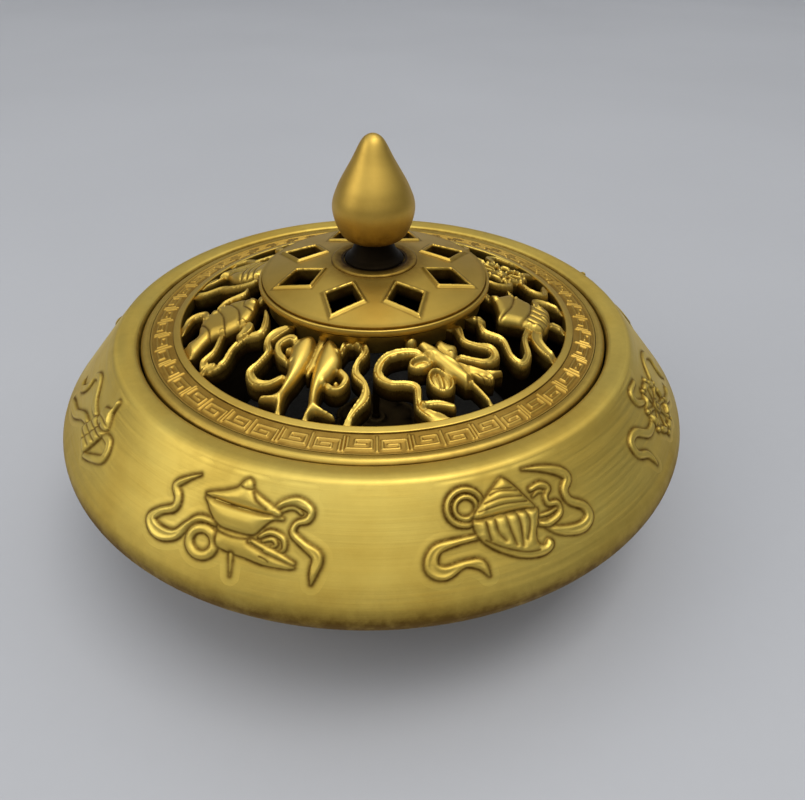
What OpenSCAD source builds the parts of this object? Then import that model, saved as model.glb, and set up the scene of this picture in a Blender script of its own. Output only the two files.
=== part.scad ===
// Brass incense burner: a belly-shaped bowl with cast emblems round its side and a
// lift-off lid of pierced emblems, topped by a small vented disc and a lotus-bud finial.
// Origin at the centre of the foot's underside, +Z up, front towards -Y, millimetres.

/* [Bowl] */
// Radius of the bowl at its widest line
belly_r = 59.8; // [59:0.1:61]
// Height of the rim's outer edge above the table
rim_h = 40.9; // [40:0.1:42]
// Radius of the rim's outer edge
shoulder_r = 47.8; // [47.4:0.1:48.2]
// Slope of the bowl's straight side from level
side_angle = 49.6; // [49:0.1:50.4]
// Radius of the rounding at the widest line
belly_round = 4; // [3.2:0.1:4.6]
// Wall thickness of the bowl
bowl_wall = 2.2; // [1.8:0.1:2.6]
// Slope of the underside from level
under_angle = 32; // [31:0.5:34]
// Height of the relief emblems above the side
relief_h = 1.0; // [0.6:0.1:1.4]

/* [Foot] */
// Outer radius of the foot ring
foot_r = 35; // [34:0.5:36]
// Radial width of the foot ring
foot_w = 4; // [3:0.5:5]

/* [Lid] */
// Radius of the lid's outer edge
lid_r = 43.5; // [43.2:0.1:43.7]
// Gap between the lid's edge and the rim
lid_gap = 0.35; // [0.3:0.05:0.5]
// Thickness of the lid ring at its edge
lid_edge = 2.2; // [1.8:0.1:2.6]
// Radius where the pierced field begins
field_r = 36.2; // [36:0.1:36.4]
// Rise of the ring's top face per millimetre inwards
ring_rise = 0.19; // [0.16:0.01:0.22]
// Thickness of the pierced emblems
pierced_t = 3; // [2.4:0.1:3.4]

/* [Disc and finial] */
// Radius of the vented disc
disc_r = 21.3; // [21:0.1:21.5]
// Height of the disc's lip above the table
disc_lip_h = 49.2; // [48.9:0.1:49.5]
// Fall of the disc's face per millimetre outwards
disc_fall = 0.2; // [0.18:0.01:0.22]
// Largest radius of the bud
bud_r = 7.3; // [6.8:0.1:7.8]
// Height of the bud's tip above the table
top_h = 74.5; // [73:0.1:76]
// Radius of the threaded stud
stud_r = 1.95; // [1.8:0.05:2.1]

/* [Inside] */
// Radius of the heat-proof mat
mat_r = 31; // [26:1:33]
// Thickness of the heat-proof mat
mat_t = 3; // [2:0.5:4]
// Height of the pin that holds an incense coil
pin_h = 12; // [8:1:13]

/* [Hidden] */
$fn = 96;

EMBLEMS = 8;
EMBLEM_STEP = 360 / EMBLEMS;
BRASS = [0.78, 0.62, 0.28];
BRASS_BROWN = [0.62, 0.47, 0.2];
BRASS_DARK = [0.3, 0.22, 0.12];
STEEL = [0.7, 0.7, 0.7];
FIBRE = [0.14, 0.14, 0.14];

// Side of the bowl in the radius and height plane: up-slope and outward directions
side_up = [-cos(side_angle), sin(side_angle)];
side_out = [sin(side_angle), cos(side_angle)];
side_len = 16;
relief_sunk = 0.25;
relief_low = -3;
relief_high = 15.6;
side_foot = [shoulder_r, rim_h] - side_up * side_len;
// Centre of the rounding at the widest line, which the side meets as a tangent
belly_c = [belly_r - belly_round,
    side_foot[1] - (belly_round + (belly_r - belly_round - side_foot[0]) * side_out[0])
        / side_out[1]];
under_end = belly_c + belly_round * [sin(under_angle), -cos(under_angle)];
pad_r = foot_r + 0.6;
pad_h = under_end[1] - (under_end[0] - pad_r) * tan(under_angle);
floor_h = pad_h + bowl_wall + 0.3;

rim_in_h = rim_h - 0.7;
seat_h = rim_in_h - lid_edge;
seat_r = 40;
seat_t = 2;
mouth_r = lid_r + lid_gap;
skirt_r = seat_r - 0.5;
skirt_t = 1.6;
skirt_h = 5;
sit = 0.1;

fret_in = 37.6;
fret_out = 41.8;
fret_depth = 1;
fret_floor = 0.5;
fret_units = 50;
fret_line = 0.4;
field_h = rim_in_h + (lid_r - field_r) * ring_rise;
dome_rise = 0.32;
disc_t = 2;
collar_r = 20;
collar_t = 2;
collar_h = 5.1;
disc_edge_t = 1.2;
boss_flat_r = 8;
rhomb_in = 9.5;
rhomb_out = 19.1;
rhomb_mid = 13.7;
rhomb_half = 3.9;
vent_low = 40;
vent_h = 20;
frame_w = 0.9;
frame_h = 0.8;
bud_base_h = top_h - 18.5;
stud_gap = 0.05;
disc_bore_r = stud_r + 0.2;

// Height of the ring's top face, the pierced dome and the disc's face at a radius
function ring_top(r) = rim_in_h + (lid_r - r) * ring_rise;
function dome_top(r) = field_h + (field_r - r) * dome_rise;
function disc_top(r) = disc_lip_h + 0.4 + (disc_r - 1 - r) * disc_fall;
boss_h = disc_top(boss_flat_r);

// ---- Curves ----

function arc(c, r, a0, a1, n) =
    [for (i = [0:n]) c + r * [cos(a0 + (a1 - a0) * i / n), sin(a0 + (a1 - a0) * i / n)]];

// Point at t between q[1] and q[2] on the smooth curve through four points
function curve_point(q, t) = 0.5 * (2 * q[1] + (q[2] - q[0]) * t
    + (2 * q[0] - 5 * q[1] + 4 * q[2] - q[3]) * t * t
    + (3 * q[1] - q[0] - 3 * q[2] + q[3]) * t * t * t);

// Smooth curve through all points of a path
function smooth(p, steps) = let (n = len(p) - 1) concat(
    [for (i = [0:n - 1]) for (k = [0:steps - 1])
        curve_point([p[max(i - 1, 0)], p[i], p[i + 1], p[min(i + 2, n)]], k / steps)],
    [p[n]]);

// Smooth closed curve through all points of a path
function smooth_loop(p, steps) = let (n = len(p))
    [for (i = [0:n - 1]) for (k = [0:steps - 1])
        curve_point([p[(i + n - 1) % n], p[i], p[(i + 1) % n], p[(i + 2) % n]], k / steps)];

function side_step(c, i) = let (d = c[min(i + 1, len(c) - 1)] - c[max(i - 1, 0)])
    [-d[1], d[0]] / norm([d[0], d[1]]) * c[i][2] / 2;

// The emblems are cut from slabs, each drawn flat and raised by slab_h
slab_h = 30;
module slab(points) { linear_extrude(slab_h) polygon(points); }

module blob(points, steps = 3) { slab(smooth_loop(points, steps)); }

// Ribbon along a path of [x, y, width] points
module ribbon(path, steps = 3) {
    c = smooth(path, steps);
    n = len(c) - 1;
    slab(concat(
        [for (i = [0:n]) [c[i][0], c[i][1]] + side_step(c, i)],
        [for (i = [n:-1:0]) [c[i][0], c[i][1]] - side_step(c, i)]));
}

module ribbons(paths) { for (p = paths) ribbon(p); }

module bar(x, y, w, h) { translate([x - w / 2, y, 0]) cube([w, h, slab_h]); }

// Flat ring of oval outline
module loop(centre, rx, ry, w, turn = 0) {
    translate(centre) rotate(turn) linear_extrude(slab_h) difference() {
        polygon([for (a = [0:20:340]) [(rx + w / 2) * cos(a), (ry + w / 2) * sin(a)]]);
        polygon([for (a = [0:20:340]) [(rx - w / 2) * cos(a), (ry - w / 2) * sin(a)]]);
    }
}

// ---- Where the emblems lie ----

// A flat drawing laid on the bowl's side at an azimuth: x round the bowl, y up the slope
module on_side(azimuth) {
    color(BRASS) intersection() {
        rotate([0, 0, azimuth]) translate([0, -side_foot[0], side_foot[1]])
            rotate([side_angle, 0, 0]) translate([0, 0, -slab_h / 2]) children();
        rotate_extrude() polygon([
            for (q = [[relief_low, -relief_sunk], [relief_high, -relief_sunk],
                [relief_high, relief_h], [relief_low, relief_h]])
                side_foot + side_up * q[0] + side_out * q[1]]);
    }
}

// A flat drawing cut out of the lid's dome at an azimuth: x round the lid, y is the
// distance from the centre, and the drawing reaches into the ring and the disc's collar
module on_dome(azimuth) {
    color(BRASS) intersection() {
        rotate([0, 0, azimuth]) mirror([0, 1, 0]) translate([0, 0, slab_h]) children();
        rotate_extrude() polygon([for (q = [[collar_r - 0.5, 0], [field_r + 0.3, 0],
            [field_r + 0.3, -pierced_t], [collar_r - 0.5, -pierced_t]])
            [q[0], dome_top(q[0]) + q[1]]]);
    }
}

// ---- Bowl ----

module bowl() {
    outer = concat(
        [[0, pad_h], [pad_r, pad_h]],
        arc(belly_c, belly_round, under_angle - 90, 90 - side_angle, 8),
        [[shoulder_r + 0.35, rim_h - 0.45], [shoulder_r - 0.2, rim_h],
            [shoulder_r - 0.8, rim_h], [mouth_r + 0.2, rim_in_h], [mouth_r, rim_in_h - 0.2]]);
    in_r = belly_round - bowl_wall;
    shelf_h = seat_h - seat_t;
    wall_top = side_foot - side_out * bowl_wall;
    shelf_r = wall_top[0] + (shelf_h - wall_top[1]) * side_up[0] / side_up[1];
    floor_r = under_end[0] - bowl_wall * sin(under_angle)
        - (under_end[1] + bowl_wall * cos(under_angle) - floor_h) / tan(under_angle);
    inner = concat(
        [[mouth_r, seat_h], [seat_r, seat_h], [seat_r, shelf_h], [shelf_r, shelf_h]],
        arc(belly_c, in_r, 90 - side_angle, under_angle - 90, 6),
        [[floor_r, floor_h], [0, floor_h]]);
    color(BRASS) rotate_extrude() polygon(concat(outer, inner));
}

module foot_ring() {
    color(BRASS_BROWN) rotate_extrude() polygon([
        [foot_r - foot_w, 0.4], [foot_r - foot_w + 0.4, 0], [foot_r - 0.5, 0], [foot_r, 0.5],
        [foot_r, 1.6], [foot_r - 0.9, 2.6], [foot_r - 0.9, pad_h - 1.2],
        [foot_r, pad_h - 0.3], [foot_r, pad_h], [foot_r - foot_w, pad_h]]);
}

// Victory banner: a draped cylinder on a pole, with a knob and two streamers
module relief_banner() {
    on_side(-1.5 * EMBLEM_STEP) {
        blob([[6, 11], [8.4, 12.2], [8.8, 14.2], [9.8, 14], [9.6, 12], [10.6, 9], [6.5, 8.6]]);
        slab([[5.2, 8.8], [10.8, 9], [7.6, 2.6], [2.4, 4.2]]);
        ribbons([
            [[5, 8.5, 1], [1.5, 9, 1.7], [-2.5, 11.5, 1.6], [-5.5, 10.2, 1.4],
                [-6, 7.4, 1.6], [-8.6, 5, 1.5], [-11, 5.6, 0.5]],
            [[4, 6, 1], [0.5, 5.4, 1.6], [-3.4, 3, 1.8], [-7, 2, 1.6], [-10, 1.2, 0.5]],
            [[9.5, 8, 1], [12.8, 8.2, 1.6], [13.4, 5.6, 1.5], [11, 4, 1.4], [8, 2.6, 1]]]);
    }
}

// Treasure vase under a canopy, tied with a scarf
module relief_vase() {
    on_side(-0.5 * EMBLEM_STEP) {
        slab([[-5.2, 10.5], [-2.8, 11.8], [-0.4, 12.9], [0.5, 14.3], [1.6, 14.4],
            [2.3, 13.1], [4.2, 12.3], [6.6, 11.2], [6.6, 10], [4.2, 7.4], [3.9, 6.2],
            [4, 3.9], [1.6, 3.4], [1.2, 0.7], [0.7, 3.4], [-1.2, 3.6], [-1.9, 5],
            [-1.8, 7], [-3.2, 7.4], [-4.6, 9.8]]);
        loop([-4, 4], 1.9, 1.9, 1.2);
        ribbons([
            [[-1.6, 6.9, 0.7], [-5, 7, 1], [-6.8, 5.4, 1.1], [-8.4, 3.2, 1.5], [-11.2, 2.5, 2],
                [-13.2, 3.6, 1.6], [-12, 5.4, 1.2], [-9.9, 6.8, 1.3], [-9.9, 8.4, 1.2],
                [-11, 9.8, 1.2], [-9.4, 11.4, 0.9], [-7.4, 12.7, 0.3]],
            [[5.6, 10.6, 0.8], [7, 12, 1], [9.2, 12.5, 1.1], [11.2, 11.6, 1], [10.9, 10.3, 0.9],
                [9.4, 9.6, 0.9], [9, 8.2, 1.2], [10.8, 6.8, 1.2], [12.7, 5.4, 1.6],
                [12.4, 3.2, 1.2], [12.2, 1.6, 0.3]],
            [[3.6, 5.8, 1.2], [6, 4.7, 1.7], [9.2, 4, 1]],
            [[3.8, 7, 0.6], [6, 7.9, 0.9], [7.6, 7, 0.9], [7, 5, 0.9]]]);
    }
}

// Right-turning conch with a spiral whorl and streamers
module relief_conch() {
    on_side(0.5 * EMBLEM_STEP) {
        blob([[-6.9, 9.4], [-5, 11.6], [-3, 13.2], [-1.5, 14], [0.4, 12.4], [2, 10],
            [2.9, 8], [2.1, 6.2], [1.7, 4], [2.7, 3.1], [3.8, 3.4], [3.6, 2.2], [1.8, 1.6],
            [-1.4, 2.4], [-4.6, 4.6], [-6.6, 6.4]]);
        loop([-8, 11.2], 2.4, 2.2, 1.5);
        ribbons([
            [[-6.4, 6.8, 0.9], [-10, 6.7, 1.1], [-13, 6, 1.5], [-13.8, 3.8, 2],
                [-12.2, 2.7, 1.9], [-9.4, 3.5, 1.1], [-7.2, 3, 1.4], [-6.3, 1.2, 0.4]],
            [[2.5, 14.2, 0.3], [5.6, 13.4, 1], [8.6, 12, 1.4], [9.9, 10.4, 1.5],
                [8.5, 9, 1.4], [8.8, 7.2, 1.3], [10.9, 5.4, 1.3], [11.1, 3.6, 1.5],
                [9.4, 2.8, 1.7], [7, 3.3, 1.6], [4.8, 4.4, 1.2], [3, 6.2, 0.7]],
            [[1.8, 9.9, 0.7], [3.8, 11, 0.9], [5.5, 10.3, 0.9], [4.9, 8.6, 0.9],
                [6.3, 7.4, 0.9], [5.2, 6.1, 0.9], [2.4, 6.8, 0.7]]]);
    }
}

module wheel_drawing(r) {
    rim = 1.1;
    difference() {
        cylinder(h = slab_h, r = r);
        cylinder(h = slab_h, r = r - rim);
    }
    cylinder(h = slab_h, r = 1.2);
    for (a = [0:45:135]) rotate(a + 22.5) bar(0, -r + rim / 2, 0.7, 2 * r - rim);
}

// Eight-spoked wheel between streamers
module relief_wheel() {
    on_side(1.5 * EMBLEM_STEP) {
        translate([-1, 6.4]) wheel_drawing(4.9);
        ribbons([
            [[-5, 6.4, 1.2], [-9, 6.2, 1.6], [-12.6, 8.6, 1.6], [-15.6, 8.2, 1.6],
                [-15.4, 5.8, 1.4], [-12.6, 4.2, 1.4], [-11.6, 1.6, 0.5]],
            [[-4, 9.6, 1], [-7, 11.2, 1.4], [-7.2, 13.4, 1.3], [-3.6, 13.6, 0.9]],
            [[3, 8, 1], [6, 10.8, 1.5], [9.6, 11, 1.6], [12.6, 8.4, 1.6], [11.6, 5, 1.4],
                [13, 2.4, 0.5]],
            [[3, 4.2, 1], [6.6, 2.6, 1.5], [9.4, 3.2, 0.6]]]);
    }
}

// Parasol with a scalloped skirt
module relief_parasol() {
    on_side(2.5 * EMBLEM_STEP) {
        slab([[-6, 8.6], [-5.4, 10.6], [-2.6, 12.6], [-0.7, 13.2], [-0.4, 14.4], [0.4, 14.4],
            [0.7, 13.2], [2.6, 12.6], [5.4, 10.6], [6, 8.6], [4.4, 8], [3, 8.6], [1.5, 8],
            [0.5, 8.4], [0.5, 1.4], [-0.5, 1.4], [-0.5, 8.4], [-1.5, 8], [-3, 8.6], [-4.4, 8]]);
        for (m = [0, 1]) mirror([m, 0]) ribbons([
            [[0.2, 6.6, 0.8], [3, 6, 1.4], [6, 6.4, 1.5], [9, 8.8, 1.6], [12, 8.8, 1.5],
                [12.4, 6, 1.4], [10, 4, 1.4], [11, 1.6, 0.5]],
            [[0.2, 4.6, 0.8], [3, 3, 1.4], [6.2, 2.4, 0.6]]]);
    }
}

module fish_drawing() {
    blob([[0, 0.4], [1.9, 1.8], [2.2, 4.4], [1.2, 7.6], [0.9, 9.2], [2.6, 11], [1.4, 11.4],
        [0, 10.2], [-1.6, 11.4], [-2.4, 10.6], [-0.7, 9.2], [-1.4, 7.4], [-2, 4.2],
        [-1.6, 1.6]]);
}

// Pair of golden fish
module relief_fish() {
    on_side(3.5 * EMBLEM_STEP) {
        translate([-2.6, 2]) rotate(8) fish_drawing();
        translate([2.6, 2]) rotate(-8) fish_drawing();
        bar(0, 6, 4, 0.8);
        for (m = [0, 1]) mirror([m, 0]) ribbons([
            [[3.4, 5.4, 0.8], [6.4, 4, 1.5], [9.4, 5.2, 1.6], [10, 8, 1.4], [12.8, 9.2, 1.4],
                [12.6, 12, 0.5]],
            [[3, 3.6, 0.8], [6, 1.9, 1.3], [9, 1.9, 0.6]]]);
    }
}

// Open lotus flower over waves of ribbon
module relief_lotus() {
    on_side(-2.5 * EMBLEM_STEP) {
        for (a = [-64, -32, 0, 32, 64]) translate([0, 4.6]) rotate(a)
            blob([[0, 0], [1.7, 3.4], [1.3, 6.6], [0, 8.8], [-1.3, 6.6], [-1.7, 3.4]]);
        translate([0, 4.6]) cylinder(h = slab_h, r = 2.2);
        for (m = [0, 1]) mirror([m, 0]) ribbons([
            [[0.4, 3.2, 0.9], [4, 2.4, 1.5], [7.4, 3.2, 1.6], [9.2, 6, 1.5], [12, 6.8, 1.4],
                [12.8, 9.6, 0.5]]]);
    }
}

module knot_drawing(s, w) {
    for (turn = [-45, 45]) rotate(turn) for (i = [-1:1]) bar(i * s, -s - w / 2, w, 2 * s + w);
    for (a = [0:90:270]) rotate(a) loop([s * 1.41 + 1.1, 0], 1.4, 1, w);
}

// Endless knot
module relief_knot() {
    on_side(-3.5 * EMBLEM_STEP) {
        translate([0, 7.4]) knot_drawing(2.5, 0.9);
        for (m = [0, 1]) mirror([m, 0]) ribbons([
            [[5.4, 7.4, 0.9], [8, 8.4, 1.5], [10.4, 10.6, 1.5], [13, 9.6, 1.3], [12.4, 6.6, 1.4],
                [10, 4.6, 1.4], [11, 2, 0.5]]]);
    }
}

// ---- Inside the bowl ----

module heat_mat() {
    color(FIBRE) translate([0, 0, floor_h]) rotate_extrude() polygon([
        [0, 0], [mat_r - 0.3, 0], [mat_r, 0.4], [mat_r, mat_t - 0.4], [mat_r - 0.4, mat_t],
        [0, mat_t]]);
}

holder_r = 9;
holder_h = 2;
pin_r = 0.9;
module incense_holder() {
    color(BRASS) translate([0, 0, floor_h + mat_t]) rotate_extrude() polygon([
        [pin_r, 0], [holder_r - 1, 0], [holder_r, 1], [holder_r, holder_h - 0.3],
        [holder_r - 0.3, holder_h], [holder_r - 1.5, holder_h - 0.6], [2.4, holder_h - 0.6],
        [1.8, holder_h + 0.4], [pin_r, holder_h + 0.4]]);
}

module holder_pin() {
    color(BRASS) translate([0, 0, floor_h + mat_t]) rotate_extrude() polygon([
        [0, 0], [pin_r, 0], [pin_r, holder_h + 0.4], [pin_r - 0.2, pin_h - 2.5], [0.2, pin_h],
        [0, pin_h]]);
}

// ---- Lid ----

module lid_ring() {
    base = seat_h + sit;
    color(BRASS) rotate_extrude() polygon([
        [lid_r, base], [lid_r, rim_in_h - 0.5], [lid_r - 0.3, rim_in_h - 0.1],
        [lid_r - 0.9, ring_top(lid_r - 0.9) + 0.15], [fret_out + 0.3, ring_top(fret_out) + 0.1],
        [fret_out, ring_top(fret_out)], [fret_out, ring_top(fret_out) - fret_depth],
        [fret_in, ring_top(fret_in) - fret_depth], [fret_in, ring_top(fret_in)],
        [field_r, field_h], [field_r, field_h - pierced_t], [skirt_r - skirt_t, base - skirt_h],
        [skirt_r, base - skirt_h], [skirt_r, base]]);
}

// Unit square spiral of the fret: x round the ring, y outwards, both from -0.5 to 0.5
FRET_PATH = [[0.37, 0.5], [0.37, -0.23], [-0.33, -0.23], [-0.33, 0.3], [0.13, 0.3],
    [0.13, 0], [-0.14, 0]];

function turned(d) = [-d[1], d[0]] / norm(d);

// Offset at a corner of a square path that keeps both sides parallel to it
function miter(p, i) =
    let (a = turned(p[max(i, 1)] - p[max(i, 1) - 1]),
        n = len(p) - 1,
        b = turned(p[min(i + 1, n)] - p[min(i, n - 1)]))
    (a + b) / (1 + a * b);

// Slab of even width along a square path
module wire(p, w) {
    n = len(p) - 1;
    slab(concat([for (i = [0:n]) p[i] + miter(p, i) * w / 2],
        [for (i = [n:-1:0]) p[i] - miter(p, i) * w / 2]));
}

module fret_ring() {
    in_r = fret_in + 0.05;
    out_r = fret_out - 0.05;
    low = fret_depth - 0.02;
    pitch = 360 / fret_units;
    wide = PI * (in_r + out_r) / fret_units;
    high = out_r - in_r - 0.2;
    path = [for (p = FRET_PATH) [p[0] * wide, p[1] * high]];
    color(BRASS_BROWN) {
        rotate_extrude() polygon([
            [in_r, ring_top(in_r) - low], [out_r, ring_top(out_r) - low],
            [out_r, ring_top(out_r) - fret_depth + fret_floor],
            [in_r, ring_top(in_r) - fret_depth + fret_floor]]);
        intersection() {
            rotate_extrude() polygon([
                [in_r, ring_top(in_r) - low], [out_r, ring_top(out_r) - low],
                [out_r, ring_top(out_r)], [in_r, ring_top(in_r)]]);
            for (i = [0:fret_units - 1]) rotate([0, 0, i * pitch])
                translate([0, -(in_r + out_r) / 2, slab_h]) {
                    rotate(180 * (i % 2)) wire(path, fret_line);
                    translate([wide / 2, 0, 0]) bar(0, -high / 2, fret_line, high);
                }
        }
    }
}

// Scroll-shaped vessel with streamers
module pierced_roll() {
    on_dome(-1.5 * EMBLEM_STEP) {
        blob([[-5.6, 22.6], [-3.6, 21.4], [-1, 22.6], [1.2, 24.8], [1.5, 28.6], [0.7, 31.4],
            [3.2, 35], [2, 37.5], [-0.6, 36.4], [-1.6, 33.6], [-5, 32.2], [-7.2, 29.6],
            [-7.3, 26]]);
        ribbons([
            [[-3.6, 18.6, 1.2], [-3.7, 22, 1.6]],
            [[0.8, 21.3, 0.5], [3.4, 22, 1.2], [6, 23.6, 1.4], [5.3, 26.4, 1.1],
                [6.4, 28.9, 1.1], [8.8, 31.2, 1.3], [8.6, 33.6, 1.5], [6.2, 34, 1.4],
                [4.6, 31.6, 1.1], [1, 29.4, 0.9]],
            [[1, 26, 1], [3, 25.2, 2], [4.4, 27, 1.4]],
            [[8.4, 33, 1.2], [8.2, 37.2, 1.2]],
            [[-6, 29, 1.2], [-9, 26.4, 1.6], [-9, 22.9, 1.5], [-10.4, 21.7, 0.8]],
            [[-5.6, 31, 1.2], [-8.4, 30.6, 1.4], [-9.2, 32.8, 1.6], [-6.6, 35.4, 1.6],
                [-5, 37.6, 1.4]]]);
    }
}

// Pair of fish, heads to the centre and tails on the ring
module pierced_fish() {
    on_dome(-0.5 * EMBLEM_STEP) {
        blob([[-2.8, 20.9], [-1.6, 22], [-1.2, 25.5], [-1.3, 29], [-1.9, 32.2], [-1.1, 36.8],
            [-1.9, 36.8], [-3, 34.2], [-5.8, 34.3], [-3.4, 32.6], [-3.4, 29.6], [-4.6, 26],
            [-5, 22.6]]);
        blob([[0.4, 20.9], [2.6, 22], [4.1, 24.4], [3.7, 27.4], [3.3, 30.4], [3.9, 33],
            [7, 33.8], [3.6, 34.4], [3.2, 37], [2.5, 37], [2.3, 33], [0.9, 29.4], [0, 25.6],
            [-0.3, 22]]);
        ribbons([
            [[-1.3, 18.8, 1], [-0.9, 21.8, 1.3], [-0.7, 25, 1.7]],
            [[-4.2, 26.4, 1], [-6.6, 25.8, 1.1], [-7.6, 23.4, 1.3], [-6.4, 21.7, 1.2],
                [-4.4, 22.4, 0.9]],
            [[-7.6, 19.2, 0.9], [-9.9, 21.4, 1.7], [-10.1, 23.2, 1.4], [-8.9, 25, 1],
                [-9.3, 27.4, 1], [-9.9, 29.6, 1.3], [-8, 31.4, 1.4], [-5.6, 31.2, 1],
                [-3.4, 29.2, 0.8]],
            [[3.2, 22.8, 1], [3.6, 20.6, 1.2], [5.2, 19.9, 1.4], [7, 21.2, 1.3],
                [6.7, 23.6, 1], [7.2, 25.7, 1.4], [9.4, 27.2, 1], [10.3, 29.6, 1.5],
                [9.7, 32.4, 1.3], [9.3, 37, 0.9]],
            [[4.6, 26.2, 0.8], [6.2, 27.2, 1.1], [5.9, 29.1, 1.2], [4.4, 29.5, 1],
                [2.8, 28.6, 0.8]],
            [[5.2, 18.6, 1.1], [5.2, 20.2, 1]]]);
    }
}

// Closed banner on its pole, with leaves, fringe and scroll
module pierced_banner() {
    on_dome(0.5 * EMBLEM_STEP) {
        slab([[-1.3, 21.9], [-0.4, 21.5], [1, 23.2], [2.8, 26.4], [4.4, 31], [4.2, 32.2],
            [5.7, 37], [5, 37.2], [3.6, 32.2], [2.4, 31.6], [1.2, 29.4], [-0.2, 26.2],
            [-0.8, 24]]);
        ribbons([
            [[-2.4, 18.8, 1.2], [-2, 20.6, 1.7], [-0.6, 22.4, 1]],
            [[1.6, 25.6, 1.6], [3, 23.6, 2.8], [2.6, 22, 1.6]],
            [[2.2, 25.8, 1], [5.4, 29, 1.5], [7.2, 30.6, 1.9]],
            [[5, 28.6, 0.8], [8, 29.6, 0.9], [10.2, 30.1, 0.5]],
            [[-0.4, 24.6, 0.8], [-4, 22.5, 1.4], [-7, 22.2, 1.3], [-9.6, 24.2, 1.3],
                [-9.4, 26.6, 1.2], [-6.6, 28.2, 1], [-5.1, 29.4, 1.2], [-6.2, 31.8, 1.1],
                [-6, 34, 1.5], [-4.4, 35.6, 1.4], [-2, 37, 1]],
            [[-5.8, 33, 0.9], [-3, 33.4, 1], [-0.9, 34.8, 0.8]],
            [[5, 18.6, 1.2], [6.9, 19.4, 1.6], [6.7, 22.6, 1.1], [8.6, 24.1, 1.1],
                [10.7, 25.2, 1.4], [10.4, 27.2, 1.4], [7.6, 27.4, 1.1], [5.4, 26, 1.1],
                [3, 25.2, 1]]]);
        loop([-2.4, 25.4], 1.7, 0.9, 0.8);
        loop([-0.8, 29.4], 1.7, 2, 0.9, -10);
    }
}

// Parasol with a pleated skirt
module pierced_canopy() {
    on_dome(1.5 * EMBLEM_STEP) {
        blob([[3, 22.2], [4.2, 21], [5.4, 22.2], [8.6, 24.2], [8.8, 28], [9.4, 31.6],
            [6, 32.6], [2.6, 32.8], [0.6, 31.6], [0, 28.4], [-1.8, 24.6], [0.4, 23.6]]);
        ribbons([
            [[4.2, 18.6, 1.2], [4.3, 22, 1.4]],
            [[-4.4, 21.6, 0.8], [-6.9, 23.2, 1.3], [-6.7, 26.4, 1.3], [-9.6, 28.8, 1.1],
                [-10.2, 30.9, 1.3], [-7.4, 31.3, 1.3], [-3.8, 29.9, 1.1], [0.6, 29.8, 1.1]],
            [[-4.6, 22.4, 0.9], [-4.8, 18.8, 0.9]],
            [[1, 31.4, 1.6], [-2.2, 31.8, 2.2], [-4.4, 34.2, 2], [-5.2, 37.4, 1.6]],
            [[8, 25, 1.4], [9.8, 23.4, 0.7]],
            [[8.6, 30, 1.2], [11, 28.8, 1.5], [12.6, 31.4, 1.5], [11.6, 37, 1.2]],
            [[5.4, 31.8, 1.4], [5, 37.2, 1.4]]]);
    }
}

// Wheel held by scrolls
module pierced_wheel() {
    on_dome(2.5 * EMBLEM_STEP) {
        translate([0, 28]) wheel_drawing(4.9);
        for (m = [0, 1]) mirror([m, 0]) ribbons([
            [[4.4, 27, 1], [6.9, 25.6, 1.4], [7.2, 22.6, 1.4], [5.4, 20.4, 1.2], [3.6, 18.6, 1]],
            [[4.2, 29.4, 1], [8, 29.8, 1.4], [9.2, 32.4, 1.4], [6.4, 34.6, 1.3],
                [5.6, 37.4, 1.2]]]);
        bar(0, 18.5, 1.4, 6);
        bar(0, 32, 1.4, 5.5);
    }
}

// Open lotus
module pierced_lotus() {
    on_dome(3.5 * EMBLEM_STEP) {
        for (a = [-70, -35, 0, 35, 70]) translate([0, 31]) rotate(a + 180)
            blob([[0, 0], [1.8, 3.2], [1.4, 6.4], [0, 8.6], [-1.4, 6.4], [-1.8, 3.2]]);
        translate([0, 31]) cylinder(h = slab_h, r = 2.4);
        bar(0, 18.5, 1.4, 6);
        for (m = [0, 1]) mirror([m, 0]) ribbons([
            [[0.4, 32.6, 1], [3.6, 34, 1.4], [7.4, 33.4, 1.4], [9.4, 30.6, 1.3],
                [8.8, 27, 1.3], [10, 24.4, 1.1]],
            [[3.4, 33.6, 1.2], [3, 37.4, 1.2]]]);
    }
}

// Endless knot
module pierced_knot() {
    on_dome(-3.5 * EMBLEM_STEP) {
        translate([0, 28]) knot_drawing(2.6, 1);
        bar(0, 18.5, 1.2, 4);
        bar(0, 33, 1.2, 4.5);
        for (m = [0, 1]) mirror([m, 0]) ribbons([
            [[5, 28, 1], [8, 26.8, 1.4], [8.4, 23.8, 1.4], [6, 21.6, 1.2], [5.6, 18.6, 1]],
            [[5.6, 28.4, 1], [9, 29.8, 1.4], [9.4, 32.6, 1.4], [7, 34.8, 1.3], [6.6, 37.4, 1]]]);
    }
}

// Conch with streamers
module pierced_conch() {
    on_dome(-2.5 * EMBLEM_STEP) {
        blob([[-3.4, 23.4], [-0.6, 21.4], [2.4, 22.4], [3.8, 25.4], [3, 29], [0.4, 32.2],
            [0.8, 34], [-0.8, 34.4], [-3.2, 31.4], [-4.6, 27.4]]);
        ribbons([
            [[-0.8, 18.6, 1.2], [-0.6, 22, 1.4]],
            [[0.2, 33, 1.2], [2.8, 34.6, 1.5], [4.6, 37.2, 1.4]],
            [[3, 24, 1], [5, 22.5, 1.3], [6.3, 24.4, 1.2], [6.8, 27.4, 1.3], [6.4, 30, 1.3],
                [8, 33, 1.3], [7.6, 37, 1.2]],
            [[-3.6, 24.6, 1], [-6.6, 22, 1.4], [-9.6, 23.4, 1.4], [-9.2, 27, 1.4],
                [-6.8, 29.6, 1.3], [-8.2, 33, 1.4], [-6, 37, 1.2]]]);
    }
}

// ---- Disc ----

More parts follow.
